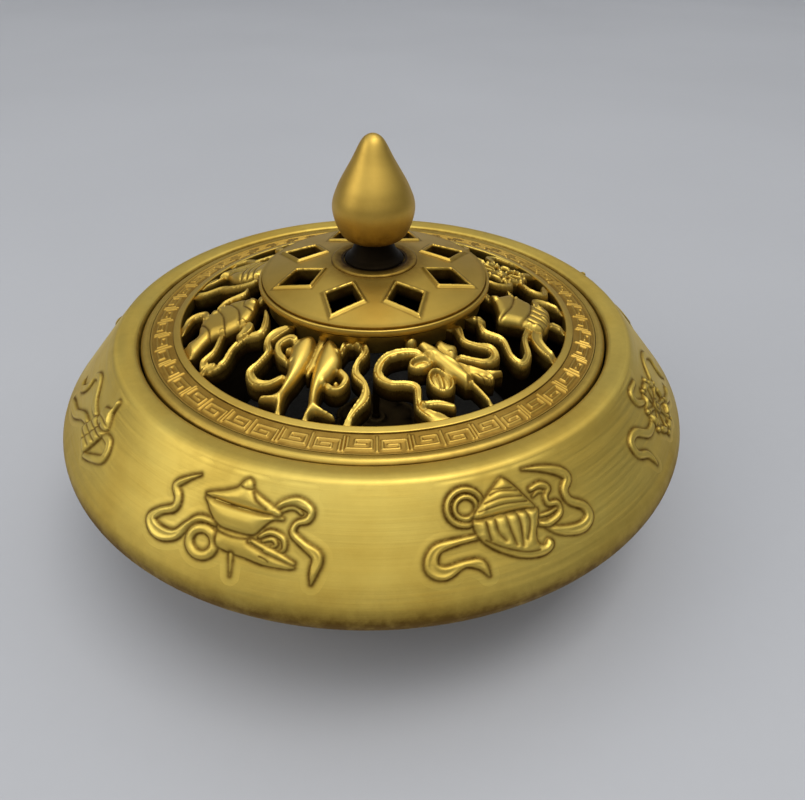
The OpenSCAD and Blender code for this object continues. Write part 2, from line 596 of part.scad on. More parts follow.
// Four-cornered vent drawn along +Y, shrunk by a margin on every side
module rhomb(margin) {
    d = margin * 1.35;
    polygon([[0, rhomb_in + d], [rhomb_half - d, rhomb_mid], [0, rhomb_out - d],
        [-rhomb_half + d, rhomb_mid]]);
}

module each_vent() {
    for (i = [0:EMBLEMS - 1]) rotate([0, 0, (i + 0.5) * EMBLEM_STEP]) children();
}

module lid_disc() {
    edge = disc_r - 0.9;
    color(BRASS) difference() {
        union() {
            rotate_extrude() polygon([
                [disc_bore_r, boss_h], [boss_flat_r, boss_h], [edge, disc_top(edge)],
                [disc_r - 0.6, disc_lip_h], [disc_r - 0.3, disc_lip_h + 0.1],
                [disc_r, disc_lip_h - 0.2], [disc_r, disc_lip_h - disc_edge_t],
                [collar_r, disc_lip_h - disc_edge_t - 0.5], [collar_r, disc_lip_h - collar_h],
                [collar_r - collar_t, disc_lip_h - collar_h],
                [collar_r - collar_t, disc_top(collar_r) - disc_t],
                [boss_flat_r, boss_h - disc_t], [disc_bore_r, boss_h - disc_t]]);
            intersection() {
                rotate_extrude() polygon([
                    [rhomb_in - 1, disc_top(rhomb_in - 1) - 0.5], [edge + 0.6, disc_top(edge) - 0.7],
                    [edge + 0.6, disc_top(edge + 0.6) + frame_h],
                    [rhomb_in - 1, disc_top(rhomb_in - 1) + frame_h]]);
                each_vent() translate([0, 0, vent_low]) linear_extrude(vent_h) rhomb(-frame_w / 2);
            }
        }
        each_vent() translate([0, 0, vent_low]) linear_extrude(vent_h) rhomb(frame_w / 2);
    }
}

// ---- Finial ----

module boss_ring() {
    color(BRASS) translate([0, 0, boss_h]) rotate_extrude() polygon([
        [5.7, 0], [7.9, 0], [7.9, 0.25], [7.5, 0.5], [6.2, 0.5], [5.7, 0.3]]);
}

neck_base_r = 5.3;
neck_top_r = 3.3;
module finial_neck() {
    rise = bud_base_h - boss_h;
    color(BRASS_DARK) translate([0, 0, boss_h]) rotate_extrude() polygon(concat(
        [[stud_r + stud_gap, 0]],
        smooth([[neck_base_r, 0], [neck_base_r, 0.5], [4.4, 1.4], [neck_top_r + 0.2, rise - 0.8],
            [neck_top_r, rise]], 3),
        [[stud_r + stud_gap, rise]]));
}

bore_h = 7;
stud_in_bud = 5.5;
module finial_bud() {
    rise = top_h - bud_base_h;
    side = smooth([[neck_top_r, 0], [0.8 * bud_r, 0.07 * rise], [bud_r, 0.31 * rise],
        [0.87 * bud_r, 0.51 * rise], [0.5 * bud_r, 0.77 * rise], [0.28 * bud_r, 0.93 * rise],
        [0.13 * bud_r, 0.985 * rise], [0, rise]], 4);
    color(BRASS) translate([0, 0, bud_base_h]) rotate_extrude() polygon(concat(
        side, [[0, bore_h], [stud_r + stud_gap, bore_h - 1], [stud_r + stud_gap, 0]]));
}

washer_r = 5;
washer_t = 0.8;
nut_r = 4.05;
nut_t = 3.2;
module finial_stud() {
    low = boss_h - disc_t - washer_t - nut_t - 1;
    rise = bud_base_h + stud_in_bud - low;
    color(STEEL) translate([0, 0, low]) rotate_extrude() polygon([
        [0, 0], [stud_r - 0.4, 0], [stud_r, 0.4], [stud_r, rise], [0, rise]]);
}

module finial_washer() {
    color(STEEL) translate([0, 0, boss_h - disc_t - washer_t]) rotate_extrude()
        polygon([[disc_bore_r, 0], [washer_r, 0], [washer_r, washer_t], [disc_bore_r, washer_t]]);
}

module finial_nut() {
    color(STEEL) translate([0, 0, boss_h - disc_t - washer_t - nut_t]) difference() {
        cylinder(h = nut_t, r = nut_r, $fn = 6);
        translate([0, 0, -1]) cylinder(h = nut_t + 2, r = stud_r + stud_gap);
    }
}

bowl();
foot_ring();
relief_banner();
relief_vase();
relief_conch();
relief_wheel();
relief_parasol();
relief_fish();
relief_lotus();
relief_knot();
heat_mat();
incense_holder();
holder_pin();
lid_ring();
fret_ring();
pierced_roll();
pierced_fish();
pierced_banner();
pierced_canopy();
pierced_wheel();
pierced_lotus();
pierced_knot();
pierced_conch();
lid_disc();
boss_ring();
finial_neck();
finial_bud();
finial_stud();
finial_washer();
finial_nut();
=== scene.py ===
import math

import bpy
import bmesh
import numpy as np
from mathutils import Matrix, Vector


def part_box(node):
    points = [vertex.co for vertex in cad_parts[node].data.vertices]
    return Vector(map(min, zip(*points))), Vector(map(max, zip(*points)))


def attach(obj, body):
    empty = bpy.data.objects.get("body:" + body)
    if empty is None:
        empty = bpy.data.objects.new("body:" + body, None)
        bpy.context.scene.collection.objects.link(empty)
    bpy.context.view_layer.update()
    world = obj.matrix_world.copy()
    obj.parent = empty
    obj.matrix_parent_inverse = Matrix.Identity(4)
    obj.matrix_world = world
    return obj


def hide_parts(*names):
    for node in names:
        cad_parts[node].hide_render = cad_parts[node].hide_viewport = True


# Everything below is worked out in millimetres and turned into metres when a mesh is made.
MM = 0.001

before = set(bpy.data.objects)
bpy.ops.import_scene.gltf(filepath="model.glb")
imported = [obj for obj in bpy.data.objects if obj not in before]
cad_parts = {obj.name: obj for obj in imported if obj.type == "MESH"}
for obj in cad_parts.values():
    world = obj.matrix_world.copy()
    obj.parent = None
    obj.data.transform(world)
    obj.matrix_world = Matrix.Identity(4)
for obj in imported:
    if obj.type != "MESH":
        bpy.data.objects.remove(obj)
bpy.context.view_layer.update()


def corners(node):
    """The low and the high corner of a CAD node, in millimetres."""
    low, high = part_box(node)
    return np.array(low) / MM, np.array(high) / MM


# ---- Main measures, read from the frame ----

BOWL_LOW, BOWL_TOP = corners("bowl")
RING_TOP = corners("lid_ring")[1]
DISC_TOP = corners("lid_disc")[1]
BUD_LOW, BUD_TOP = corners("finial_bud")
BOSS_LOW = corners("boss_ring")[0]
NECK_LOW, NECK_TOP = corners("finial_neck")
FOOT_TOP = corners("foot_ring")[1]
MAT_LOW, MAT_TOP = corners("heat_mat")
HOLDER_LOW, HOLDER_TOP = corners("incense_holder")
PIN_LOW, PIN_TOP = corners("holder_pin")
STUD_LOW, STUD_TOP = corners("finial_stud")
WASHER_LOW, WASHER_TOP = corners("finial_washer")
NUT_LOW, NUT_TOP = corners("finial_nut")

RIM_H = BOWL_TOP[2]
BELLY_R = BOWL_TOP[0]
PAD_H = BOWL_LOW[2]
PAD_R = 35.6
SHOULDER_R = 47.8
SIDE_SLOPE = 49.6
SIDE_ANGLE = math.radians(SIDE_SLOPE)
# Along the bowl's side and square to it, as radius and height
SIDE_UP = np.array([-math.cos(SIDE_ANGLE), math.sin(SIDE_ANGLE)])
SIDE_OUT = np.array([math.sin(SIDE_ANGLE), math.cos(SIDE_ANGLE)])
SIDE_LEN = 16.0
SIDE_FOOT = np.array([SHOULDER_R, RIM_H]) - SIDE_UP * SIDE_LEN
SIDE_R = 53.0
BELLY_ROUND = 4.0
BELLY_C = np.array([
    BELLY_R - BELLY_ROUND,
    SIDE_FOOT[1] - (BELLY_ROUND + (BELLY_R - BELLY_ROUND - SIDE_FOOT[0]) * SIDE_OUT[0])
    / SIDE_OUT[1]])
UNDER_SLOPE = 32
UNDER = math.radians(UNDER_SLOPE)
WALL = 2.2
FLOOR_H = MAT_LOW[2]
LID_R = RING_TOP[0]
RIM_IN_H = RIM_H - 0.7
SEAT_H = RIM_IN_H - 2.2
SEAT_R = 40.0
SEAT_T = 2
MOUTH_R = LID_R + 0.35
FIELD_R = 36.2
RING_RISE = 0.19
DOME_RISE = 0.32
PIERCED_T = 3.0
FRET_IN = 37.6
FRET_OUT = 41.8
FRET_UNITS = 50
DISC_R = DISC_TOP[0]
DISC_T = 2.0
DISC_EDGE_T = 1.2
COLLAR_R = 20.0
COLLAR_H = 5.1
LIP_H = RIM_H + 8.3
DISC_FALL = 0.2
EMBLEM_STEP = 45.0
RELIEF_ROOT = 0.4
RELIEF_SKIRT = 2.6


def ring_top(r):
    return RIM_IN_H + (LID_R - r) * RING_RISE


def dome_top(r):
    return ring_top(FIELD_R) + (FIELD_R - r) * DOME_RISE


def disc_top(r):
    return LIP_H + 0.4 + (DISC_R - 1 - r) * DISC_FALL


# ---- Curves ----

def smooth_path(points, steps=5, closed=False):
    """Smooth curve through all points, each a list of numbers."""
    p = np.array(points, float)
    n = len(p)
    t = np.linspace(0, 1, steps, endpoint=False)[:, None]
    out = []
    for i in range(n if closed else n - 1):
        if closed:
            q = [p[(i + k) % n] for k in (-1, 0, 1, 2)]
        else:
            q = [p[min(max(i + k, 0), n - 1)] for k in (-1, 0, 1, 2)]
        out.append(0.5 * (2 * q[1] + (q[2] - q[0]) * t
                          + (2 * q[0] - 5 * q[1] + 4 * q[2] - q[3]) * t ** 2
                          + (3 * q[1] - q[0] - 3 * q[2] + q[3]) * t ** 3))
    out = np.concatenate(out)
    return out if closed else np.concatenate([out, p[-1:]])


def arc(centre, radius, start, end, n):
    a = np.radians(np.linspace(start, end, n + 1))
    return [[centre[0] + radius * math.cos(v), centre[1] + radius * math.sin(v)] for v in a]


def rounded(points, radius=0.25, n=4, closed=True):
    """The outline with every corner turned into a small arc. A third number is a corner's
    own radius and a fourth how dark it is, which holds real patina and painted shade."""
    out = []
    count = len(points)
    for i, q in enumerate(points):
        p = np.array(q[:2], float)
        own = q[2] if len(q) > 2 else radius
        dark = q[3] if len(q) > 3 else 0.0
        if own == 0 or (not closed and i in (0, count - 1)):
            out.append([p[0], p[1], dark])
            continue
        a = np.array(points[i - 1][:2], float) - p
        b = np.array(points[(i + 1) % count][:2], float) - p
        la, lb = np.linalg.norm(a), np.linalg.norm(b)
        cut = min(own, la * 0.45, lb * 0.45)
        s, e = p + a / la * cut, p + b / lb * cut
        for t in np.linspace(0, 1, n + 1):
            v = s * (1 - t) ** 2 + 2 * p * t * (1 - t) + e * t ** 2
            out.append([v[0], v[1], dark])
    return out


def soft(v):
    """Smooth step from 0 to 1."""
    v = np.clip(v, 0, 1)
    return v * v * (3 - 2 * v)


def bulge(v):
    """Rise from 0 to 1 along a quarter circle."""
    return np.sqrt(1 - (1 - np.clip(v, 0, 1)) ** 2)


def direction(degrees):
    """The cosine and the sine of an angle."""
    return math.cos(math.radians(degrees)), math.sin(math.radians(degrees))


def nearest(x, y, a, b):
    """How far along the line from a to b the place nearest to each point is, from 0 to 1,
    and how far away it is."""
    vx, vy = b[0] - a[0], b[1] - a[1]
    size = max(vx * vx + vy * vy, 1e-9)
    t = np.clip(((x - a[0]) * vx + (y - a[1]) * vy) / size, 0, 1)
    return t, np.hypot(x - a[0] - t * vx, y - a[1] - t * vy)


def around(a, r, z):
    """Places at angle a round the axis, counted from the front."""
    return np.stack([r * np.sin(a), -r * np.cos(a), z], -1)


# ---- Flat drawings ----

class Sketch:
    """A flat drawing on a grid: how far inside its outline each point is, how high it
    stands and how dark its patina is. rise is how wide a ribbon's edge is, ink how dark
    the outlines are, widen makes ribbons wider and shoulder lifts their edges."""

    def __init__(self, low, high, step, rise, ink, widen=1.0, shoulder=0.1):
        self.step, self.rise, self.ink = step, rise, ink
        self.widen, self.shoulder = widen, shoulder
        self.x, self.y = np.meshgrid(np.arange(low[0], high[0] + step / 2, step),
                                     np.arange(low[1], high[1] + step / 2, step),
                                     indexing="ij")
        self.inside = np.full(self.x.shape, -9.0)
        self.height = np.zeros(self.x.shape)
        self.dark = np.zeros(self.x.shape)

    def window(self, points, margin):
        low, high = points[:, :2].min(0) - margin, points[:, :2].max(0) + margin
        xs, ys = self.x[:, 0], self.y[0]
        i0, i1 = np.searchsorted(xs, [low[0], high[0]])
        j0, j1 = np.searchsorted(ys, [low[1], high[1]])
        return slice(i0, i1), slice(j0, j1)

    def stroke_distance(self, path):
        d = np.full(self.x.shape, -9.0)
        w = self.window(path, 3.2)
        x, y = self.x[w], self.y[w]
        best = d[w]
        for a, b in zip(path[:-1], path[1:]):
            t, away = nearest(x, y, a, b)
            best = np.maximum(best, (a[2] + (b[2] - a[2]) * t) / 2 - away)
        d[w] = best
        return d

    def shape_distance(self, points):
        d = np.full(self.x.shape, -9.0)
        w = self.window(points, 3.2)
        x, y = self.x[w], self.y[w]
        away = np.full(x.shape, 9.0)
        within = np.zeros(x.shape, bool)
        for a, b in zip(points, np.roll(points, -1, 0)):
            away = np.minimum(away, nearest(x, y, a, b)[1])
            vx, vy = b[0] - a[0], b[1] - a[1]
            if abs(vy) > 1e-9:
                cross = (a[1] > y) != (b[1] > y)
                within ^= cross & (x < a[0] + (y - a[1]) * vx / vy)
        d[w] = np.where(within, away, -away)
        return d

    def lay(self, d, height, form):
        """Lays one part on the drawing, over what is there already."""
        old = self.height * (1 - 0.7 * np.exp(-(np.minimum(d, 0) / 0.3) ** 2))
        self.height = np.where(d > 0, form(d) * height + 0.3 * self.height, old)
        outer = self.ink * np.exp(-(d / self.rise) ** 2)
        inner = self.ink * np.exp(-(d / 0.2) ** 2)
        self.dark = np.where(d > 0, inner, np.maximum(self.dark, outer))
        self.inside = np.maximum(self.inside, d)

    def ribbon(self, path, height=0.8, hollow=0.4):
        path = smooth_path(path)
        path[:, 2] *= self.widen
        d = self.stroke_distance(path)
        self.lay(d, height, lambda v: soft(v / self.rise + self.shoulder)
                 - hollow * soft((v - self.rise) / 0.3))

    def ribbons(self, paths, height=0.8, hollow=0.4):
        for path in paths:
            self.ribbon(path, height, hollow)

    def pair(self, paths, height=0.8, hollow=0.4):
        """Ribbons and their mirror images."""
        self.ribbons(paths, height, hollow)
        self.ribbons([[[-q[0]] + q[1:] for q in path] for path in paths], height, hollow)

    def blob(self, points, height=1.0, swell=1.4, turn=0.0, at=(0, 0)):
        p = smooth_path(points, closed=True)
        self.form(p, height, swell, turn, at)

    def slab(self, points, height=1.0, swell=0.8, turn=0.0, at=(0, 0)):
        self.form(np.array(points, float), height, swell, turn, at)

    def form(self, p, height, swell, turn, at):
        c, s = direction(turn)
        p = p @ np.array([[c, s], [-s, c]]) + np.array(at)
        d = self.shape_distance(p)
        self.lay(d, height, lambda v: bulge(v / swell))

    def loop(self, centre, rx, ry, width, height=0.8, turn=0.0):
        a = np.radians(np.arange(0, 361, 15))
        c, s = direction(turn)
        px, py = rx * np.cos(a), ry * np.sin(a)
        path = np.stack([centre[0] + c * px - s * py, centre[1] + s * px + c * py,
                         np.full(len(a), width)], 1)
        self.lay(self.stroke_distance(path), height, lambda v: bulge(v / (width / 2)))

    def dot(self, x, y, radius, height=0.8):
        d = radius - np.hypot(self.x - x, self.y - y)
        self.lay(d, height, lambda v: bulge(v / radius))

    def cut(self, path, depth=0.35, width=0.22):
        """An engraved line, which ends at the drawing's outline."""
        p = smooth_path([list(q[:2]) + [0] for q in path])
        line = np.exp(-(self.stroke_distance(p) / width) ** 2) * (self.inside > -0.1)
        self.height = self.height - depth * line
        self.dark = np.maximum(self.dark, 0.85 * line)

    def soften(self, times):
        for _ in range(times):
            for axis in (0, 1):
                h = self.height
                self.height = (np.roll(h, 1, axis) + 2 * h + np.roll(h, -1, axis)) / 4


# ---- The eight emblems, x to the right and y up the slope of the bowl ----
# A ribbon's points are [x, y, width]. Blobs and slabs are outlines, and cuts are lines.

def draw_relief_banner(s):
    s.ribbons([
        [[5, 8.5, 1], [1.5, 9, 1.7], [-2.5, 11.5, 1.6], [-5.5, 10.2, 1.4],
         [-6, 7.4, 1.6], [-8.6, 5, 1.5], [-11, 5.6, 0.5]],
        [[4, 6, 1], [0.5, 5.4, 1.6], [-3.4, 3, 1.8], [-7, 2, 1.6], [-10, 1.2, 0.5]],
        [[9.5, 8, 1], [12.8, 8.2, 1.6], [13.4, 5.6, 1.5], [11, 4, 1.4], [8, 2.6, 1]]])
    s.slab([[5.2, 8.8], [10.8, 9], [7.6, 2.6], [2.4, 4.2]], 1.0, 0.8)
    s.blob([[6, 11], [8.4, 12.2], [8.8, 14.2], [9.8, 14], [9.6, 12], [10.6, 9],
            [6.5, 8.6]], 1.1, 1.0)
    for k in range(3):
        s.cut([[4.6 - k * 0.8, 7.4 - k * 1.3], [9.7 - k * 0.9, 7.4 - k * 1.4]])
    s.cut([[5.6, 9.6], [8, 9.9], [10.2, 9.7]])
    s.cut([[8.2, 9], [6.4, 5.8], [5, 3.6]], 0.2)


def draw_relief_vase(s):
    s.ribbon([[5.6, 10.6, 0.8], [7, 12, 1.1], [9.2, 12.5, 1.5], [11.2, 11.6, 1.2],
              [10.9, 10.3, 1.1], [9.4, 9.6, 0.9], [9, 8.2, 1.1], [10.8, 6.8, 1.2],
              [12.7, 5.4, 1.6], [12.4, 3.2, 1.2], [12.2, 1.6, 0.3]], 0.8, 0.45)
    s.ribbon([[6.4, 10.4, 0.5], [7.3, 11.2, 0.6], [8.7, 11.6, 0.6], [9.9, 11, 0.5]], 0.55)
    s.ribbon([[-1.6, 6.9, 0.8], [-5, 7, 1.1], [-6.8, 5.4, 1.2], [-8.4, 3.2, 1.6],
              [-11.2, 2.5, 2.2], [-13.2, 3.6, 1.7], [-12, 5.4, 1.3], [-9.9, 6.8, 1.3],
              [-9.9, 8.4, 1.3], [-11, 9.8, 1.3], [-9.4, 11.4, 0.9], [-7.4, 12.7, 0.3]],
             0.8, 0.4)
    s.loop([-3.9, 3.9], 2.0, 1.9, 1.4, 0.8)
    s.blob([[-1.7, 7.4], [-2, 5.6], [-1.5, 4.1], [0.4, 3.7], [3, 3.5], [6, 3.1], [9.2, 3.2],
            [9.8, 3.7], [8.4, 4.5], [6, 5.3], [4.1, 6.2], [3.8, 7.2]], 0.75, 1.6)
    s.ribbon([[4.4, 6.9, 0.6], [5.8, 7.8, 0.9], [7.7, 7.3, 0.9], [8.1, 5.9, 0.7],
              [7.4, 5.2, 0.5]], 0.7, 0)
    s.ribbon([[4.9, 6.4, 0.5], [6.2, 6.9, 0.7], [6.9, 6.3, 0.6], [6.3, 5.8, 0.5]], 0.6, 0)
    s.ribbon([[3.2, 6.1, 0.8], [5.2, 5.5, 1.0], [7.4, 4.9, 0.9], [9.6, 4.1, 0.5]], 0.6, 0)
    s.blob([[-5, 10.3], [-4.6, 9.2], [-3.5, 7.9], [-2.2, 7.1], [-0.8, 6.8], [2.6, 6.8],
            [3.7, 7.1], [4.6, 8.2], [5.8, 9.4], [7.4, 9.7], [6.6, 10.3], [2, 10.4]], 1.0, 2.2)
    s.blob([[-5.5, 10.5], [-4.2, 11.3], [-2.8, 11.8], [-0.7, 12.8], [0.1, 13.9], [1, 14.5],
            [1.8, 14], [2.3, 13], [4.2, 12.1], [6.6, 11], [7, 10.4], [6.3, 10.1],
            [3, 10.2], [-2.5, 10.3]], 1.1, 1.8)
    s.cut([[0, 13.2], [1.1, 13], [2.2, 13.1]], 0.2, 0.2)
    s.cut([[2.2, 12.8], [3, 11.7], [4.6, 10.9]], 0.16, 0.35)
    s.cut([[-3.8, 10.25], [0.5, 10.1], [5.6, 10.15]], 0.6, 0.24)
    s.cut([[3.3, 5.9], [4.2, 5.5], [5.2, 5.2]], 0.35, 0.18)
    s.cut([[4.9, 4.3], [5.7, 4.1], [6.2, 3.8]], 0.25, 0.16)
    s.cut([[-1.9, 6.2], [0.6, 6], [3.2, 6.3]], 0.12, 0.3)
    s.ribbon([[0.8, 3.5, 0.7], [1.05, 2.1, 0.5], [1.3, 0.6, 0.2]], 0.4, 0)


def draw_relief_conch(s):
    s.ribbon([[2.5, 14.2, 0.3], [5.6, 13.4, 1], [8.6, 12, 1.5], [9.9, 10.4, 1.6],
              [8.5, 9, 1.4], [8.8, 7.2, 1.3], [10.9, 5.4, 1.4], [11.1, 3.6, 1.6],
              [9.4, 2.8, 1.8], [7, 3.3, 1.6], [4.8, 4.4, 1.2], [3, 6.2, 0.7]], 0.85, 0.4)
    s.ribbon([[-6.4, 6.8, 0.9], [-10, 6.7, 1.1], [-13, 6, 1.6], [-13.8, 3.8, 2.1],
              [-12.2, 2.7, 2], [-9.4, 3.5, 1.1], [-7.2, 3, 1.5], [-6.3, 1.2, 0.4]],
             0.8, 0.4)
    s.ribbon([[2.2, 6.2, 0.7], [4.2, 5.6, 1.1], [6.4, 6.2, 1.1], [6.6, 7.7, 1],
              [5.1, 8.2, 0.9], [5, 9.4, 0.9], [5.9, 10.3, 1], [4.7, 11.2, 1.1],
              [2.9, 11.1, 0.8]], 0.8, 0.3)
    s.ribbon([[3, 7, 0.5], [4.6, 6.9, 0.7], [6, 7, 0.5]], 0.75, 0)
    s.ribbon([[3, 10, 0.4], [4, 10.4, 0.6], [4.8, 10.1, 0.5]], 0.6, 0)
    s.loop([-8, 11.2], 2.75, 2.5, 0.95, 0.85)
    s.loop([-7.9, 11.1], 1.7, 1.55, 0.8, 0.75)
    s.blob([[-7, 9.3], [-6.9, 6.8], [-4.9, 4.5], [-1.4, 2.3], [1.6, 1.5], [3.5, 1.9],
            [4, 2.9], [3.3, 3.6], [2.5, 3], [1.7, 3.6], [1.8, 5], [2.6, 6.6],
            [3.1, 8.2], [1, 9.1], [-3, 9.3]], 1.15, 1.6)
    s.blob([[-7.1, 9.4], [-5.2, 11.5], [-3.2, 13], [-1.7, 14], [-0.9, 13.8], [0.4, 12.4],
            [1.9, 10.1], [2.8, 8.5], [0.8, 8.8], [-3, 9.1]], 1.2, 1.6)
    for k in range(3):
        y = 9.9 + k * 0.95
        s.cut([[-6.2 + k * 1.1, y + 0.3], [-2.4, y + 0.55], [1.6 - k * 0.55, y - 0.1]],
              0.32, 0.17)
    s.cut([[-3.3, 12.8], [-1.8, 12.6], [-0.2, 12.3]], 0.25, 0.15)
    s.cut([[-7, 9.2], [-3, 9.15], [0, 9.0], [2.7, 8.4]], 0.4, 0.17)
    for x, low, lean in ((-5.4, 6, 0.2), (-4, 5.4, 0.9), (-2.2, 4.4, 0.5), (-0.5, 4, -0.3),
                         (1, 4.7, -0.9)):
        s.cut([[x, 8.6], [x + 0.1, 6.8], [x + lean, low]], 0.5, 0.26)
    s.cut([[-5.9, 6.1], [-3.4, 4.4], [-0.6, 3], [1.4, 2.6]], 0.3, 0.2)


def draw_wheel(s, x, y, r):
    s.loop([x, y], r - 0.55, r - 0.55, 1.3, 1.0)
    for a in range(0, 360, 45):
        c, t = direction(a + 22.5)
        s.ribbon([[x + 0.8 * c, y + 0.8 * t, 0.9], [x + 2.4 * c, y + 2.4 * t, 0.6],
                  [x + (r - 0.8) * c, y + (r - 0.8) * t, 0.9]], 0.75, 0)
        s.dot(x + (r + 0.1) * c, y + (r + 0.1) * t, 0.55, 0.9)
    s.dot(x, y, 1.4, 1.0)
    s.loop([x, y], 1.0, 1.0, 0.5, 0.5)


def draw_relief_wheel(s):
    s.ribbons([
        [[-5, 6.4, 1.2], [-9, 6.2, 1.6], [-12.6, 8.6, 1.6], [-15.2, 8.2, 1.5],
         [-15, 5.8, 1.4], [-12.6, 4.2, 1.4], [-11.6, 1.6, 0.5]],
        [[-4, 9.6, 1], [-7, 11.2, 1.4], [-7.2, 13.4, 1.3], [-3.6, 13.6, 0.9]],
        [[3, 8, 1], [6, 10.8, 1.5], [9.6, 11, 1.6], [12.6, 8.4, 1.6], [11.6, 5, 1.4],
         [13, 2.4, 0.5]],
        [[3, 4.2, 1], [6.6, 2.6, 1.5], [9.4, 3.2, 0.6]]])
    draw_wheel(s, -1, 6.4, 4.9)


def draw_relief_parasol(s):
    half = [[[0.2, 6.6, 0.8], [3, 6, 1.4], [6, 6.4, 1.5], [9, 8.8, 1.6], [12, 8.8, 1.5],
             [12.4, 6, 1.4], [10, 4, 1.4], [11, 1.6, 0.5]],
            [[0.2, 4.6, 0.8], [3, 3, 1.4], [6.2, 2.4, 0.6]]]
    s.pair(half)
    s.ribbon([[0, 8.6, 1.1], [0, 4, 1], [0, 1.2, 0.8]], 1.0, 0)
    s.slab([[-6, 8.6], [-5.4, 10.6], [-2.6, 12.6], [-0.7, 13.2], [0.7, 13.2],
            [2.6, 12.6], [5.4, 10.6], [6, 8.6], [4.4, 8], [3, 8.6], [1.5, 8], [0, 8.6],
            [-1.5, 8], [-3, 8.6], [-4.4, 8]], 1.15, 1.6)
    s.dot(0, 13.9, 0.8, 1.1)
    for x in (-4, -1.4, 1.4, 4):
        s.cut([[x * 0.25, 12.9], [x * 0.8, 10.6], [x, 8.2]], 0.3, 0.2)
    s.cut([[-5.7, 9.6], [0, 10], [5.7, 9.6]], 0.25, 0.18)


FISH = [[0, 0.4], [1.9, 1.8], [2.2, 4.4], [1.2, 7.6], [0.9, 9.2], [2.6, 11], [1.4, 11.4],
        [0, 10.2], [-1.6, 11.4], [-2.4, 10.6], [-0.7, 9.2], [-1.4, 7.4], [-2, 4.2],
        [-1.6, 1.6]]


def draw_relief_fish(s):
    half = [[[3.4, 5.4, 0.8], [6.4, 4, 1.5], [9.4, 5.2, 1.6], [10, 8, 1.4],
             [12.8, 9.2, 1.4], [12.6, 12, 0.5]],
            [[3, 3.6, 0.8], [6, 1.9, 1.3], [9, 1.9, 0.6]]]
    s.pair(half)
    s.ribbon([[-2, 6.4, 0.8], [0, 6.6, 0.9], [2, 6.4, 0.8]], 0.7, 0)
    for m in (-1, 1):
        s.blob(FISH, 1.2, 1.6, -8 * m, (2.6 * m, 2))
        s.dot(2.6 * m + 0.6, 3.8, 0.3, 0.4)
        for k in range(3):
            y = 6.2 + k * 1.3
            s.cut([[2.6 * m - 1.2, y + 0.4], [2.6 * m, y - 0.3], [2.6 * m + 1.2, y + 0.4]],
                  0.22, 0.16)


def draw_petals(s, centre, angles, petal, height=1.0):
    for a in angles:
        s.blob(petal, height, 1.0, a, centre)
        c, t = direction(a + 90)
        s.cut([[centre[0] + v * c, centre[1] + v * t] for v in (3.4, 5.2, 6.8)], 0.22, 0.2)


PETAL = [[0, 0], [1.7, 3.4], [1.3, 6.6], [0, 8.8], [-1.3, 6.6], [-1.7, 3.4]]


def draw_relief_lotus(s):
    half = [[[0.4, 3.2, 0.9], [4, 2.4, 1.5], [7.4, 3.2, 1.6], [9.2, 6, 1.5],
             [12, 6.8, 1.4], [12.8, 9.6, 0.5]]]
    s.pair(half)
    draw_petals(s, (0, 4.6), (-64, 64, -32, 32, 0), PETAL)
    s.dot(0, 4.8, 2.1, 1.2)
    for a in range(0, 360, 60):
        c, t = direction(a)
        s.dot(c, 4.8 + t, 0.3, 0.3)


def draw_knot(s, x, y, size, width):
    diag = math.sqrt(0.5)
    for side in (1, -1):
        for i in (-1, 0, 1):
            a = np.array([i * size, -size - width / 2])
            b = np.array([i * size, size + width / 2])
            turn = np.array([[diag, diag * side], [-diag * side, diag]])
            a, b = a @ turn, b @ turn
            s.ribbon([[x + a[0], y + a[1], width], [x + b[0], y + b[1], width]], 0.9, 0)
    for a in range(0, 360, 90):
        c, t = direction(a)
        reach = size * 1.41 + 1.1
        s.loop([x + reach * c, y + reach * t], 1.4, 1.0, width, 0.9, a)


def draw_relief_knot(s):
    half = [[[5.4, 7.4, 0.9], [8, 8.4, 1.5], [10.4, 10.6, 1.5], [13, 9.6, 1.3],
             [12.4, 6.6, 1.4], [10, 4.6, 1.4], [11, 2, 0.5]]]
    s.pair(half)
    draw_knot(s, 0, 7.4, 2.5, 1.0)


# ---- The eight pierced emblems, y is the distance from the lid's centre ----

def draw_pierced_roll(s):
    s.ribbons([
        [[0.8, 21.3, 0.7], [3.4, 22, 1.3], [6, 23.6, 1.6], [5.3, 26.4, 1.3],
         [6.4, 28.9, 1.3], [8.8, 31.2, 1.4], [8.6, 33.6, 1.6], [6.2, 34, 1.5],
         [4.6, 31.6, 1.2], [1, 29.4, 1.1]],
        [[8.4, 33, 1.2], [8.2, 37.2, 1.2]],
        [[-6, 29, 1.3], [-9, 26.4, 1.5], [-9, 22.9, 1.4], [-10.3, 21.8, 0.7]],
        [[-5.6, 31, 1.3], [-8.4, 30.6, 1.5], [-9.2, 32.8, 1.7], [-6.6, 35.4, 1.7],
         [-5, 37.6, 1.5]]], 1.0, 0.45)
    s.ribbon([[-3.6, 18.6, 1.3], [-3.7, 22, 1.7]], 1.0, 0)
    s.ribbon([[1, 26, 1.1], [3, 25.2, 2], [4.4, 27, 1.5]], 1.1, 0.2)
    s.blob([[-5.6, 22.6], [-3.6, 21.4], [-1, 22.6], [1.2, 24.8], [1.5, 28.6], [0.7, 31.4],
            [3.2, 35], [2, 37.5], [-0.6, 36.4], [-1.6, 33.6], [-5, 32.2], [-7.2, 29.6],
            [-7.3, 26]], 1.5, 1.8)
    s.cut([[-6.9, 26.4], [-3, 25.4], [1.2, 26.2]], 0.4, 0.2)
    s.cut([[-7, 28.6], [-3, 28.2], [1.4, 29]], 0.35, 0.2)
    s.cut([[-4.4, 32], [-1.4, 31.4], [0.8, 31.6]], 0.35, 0.2)
    s.cut([[-5.2, 23.4], [-3.2, 24.2], [-1, 23.4]], 0.3, 0.18)


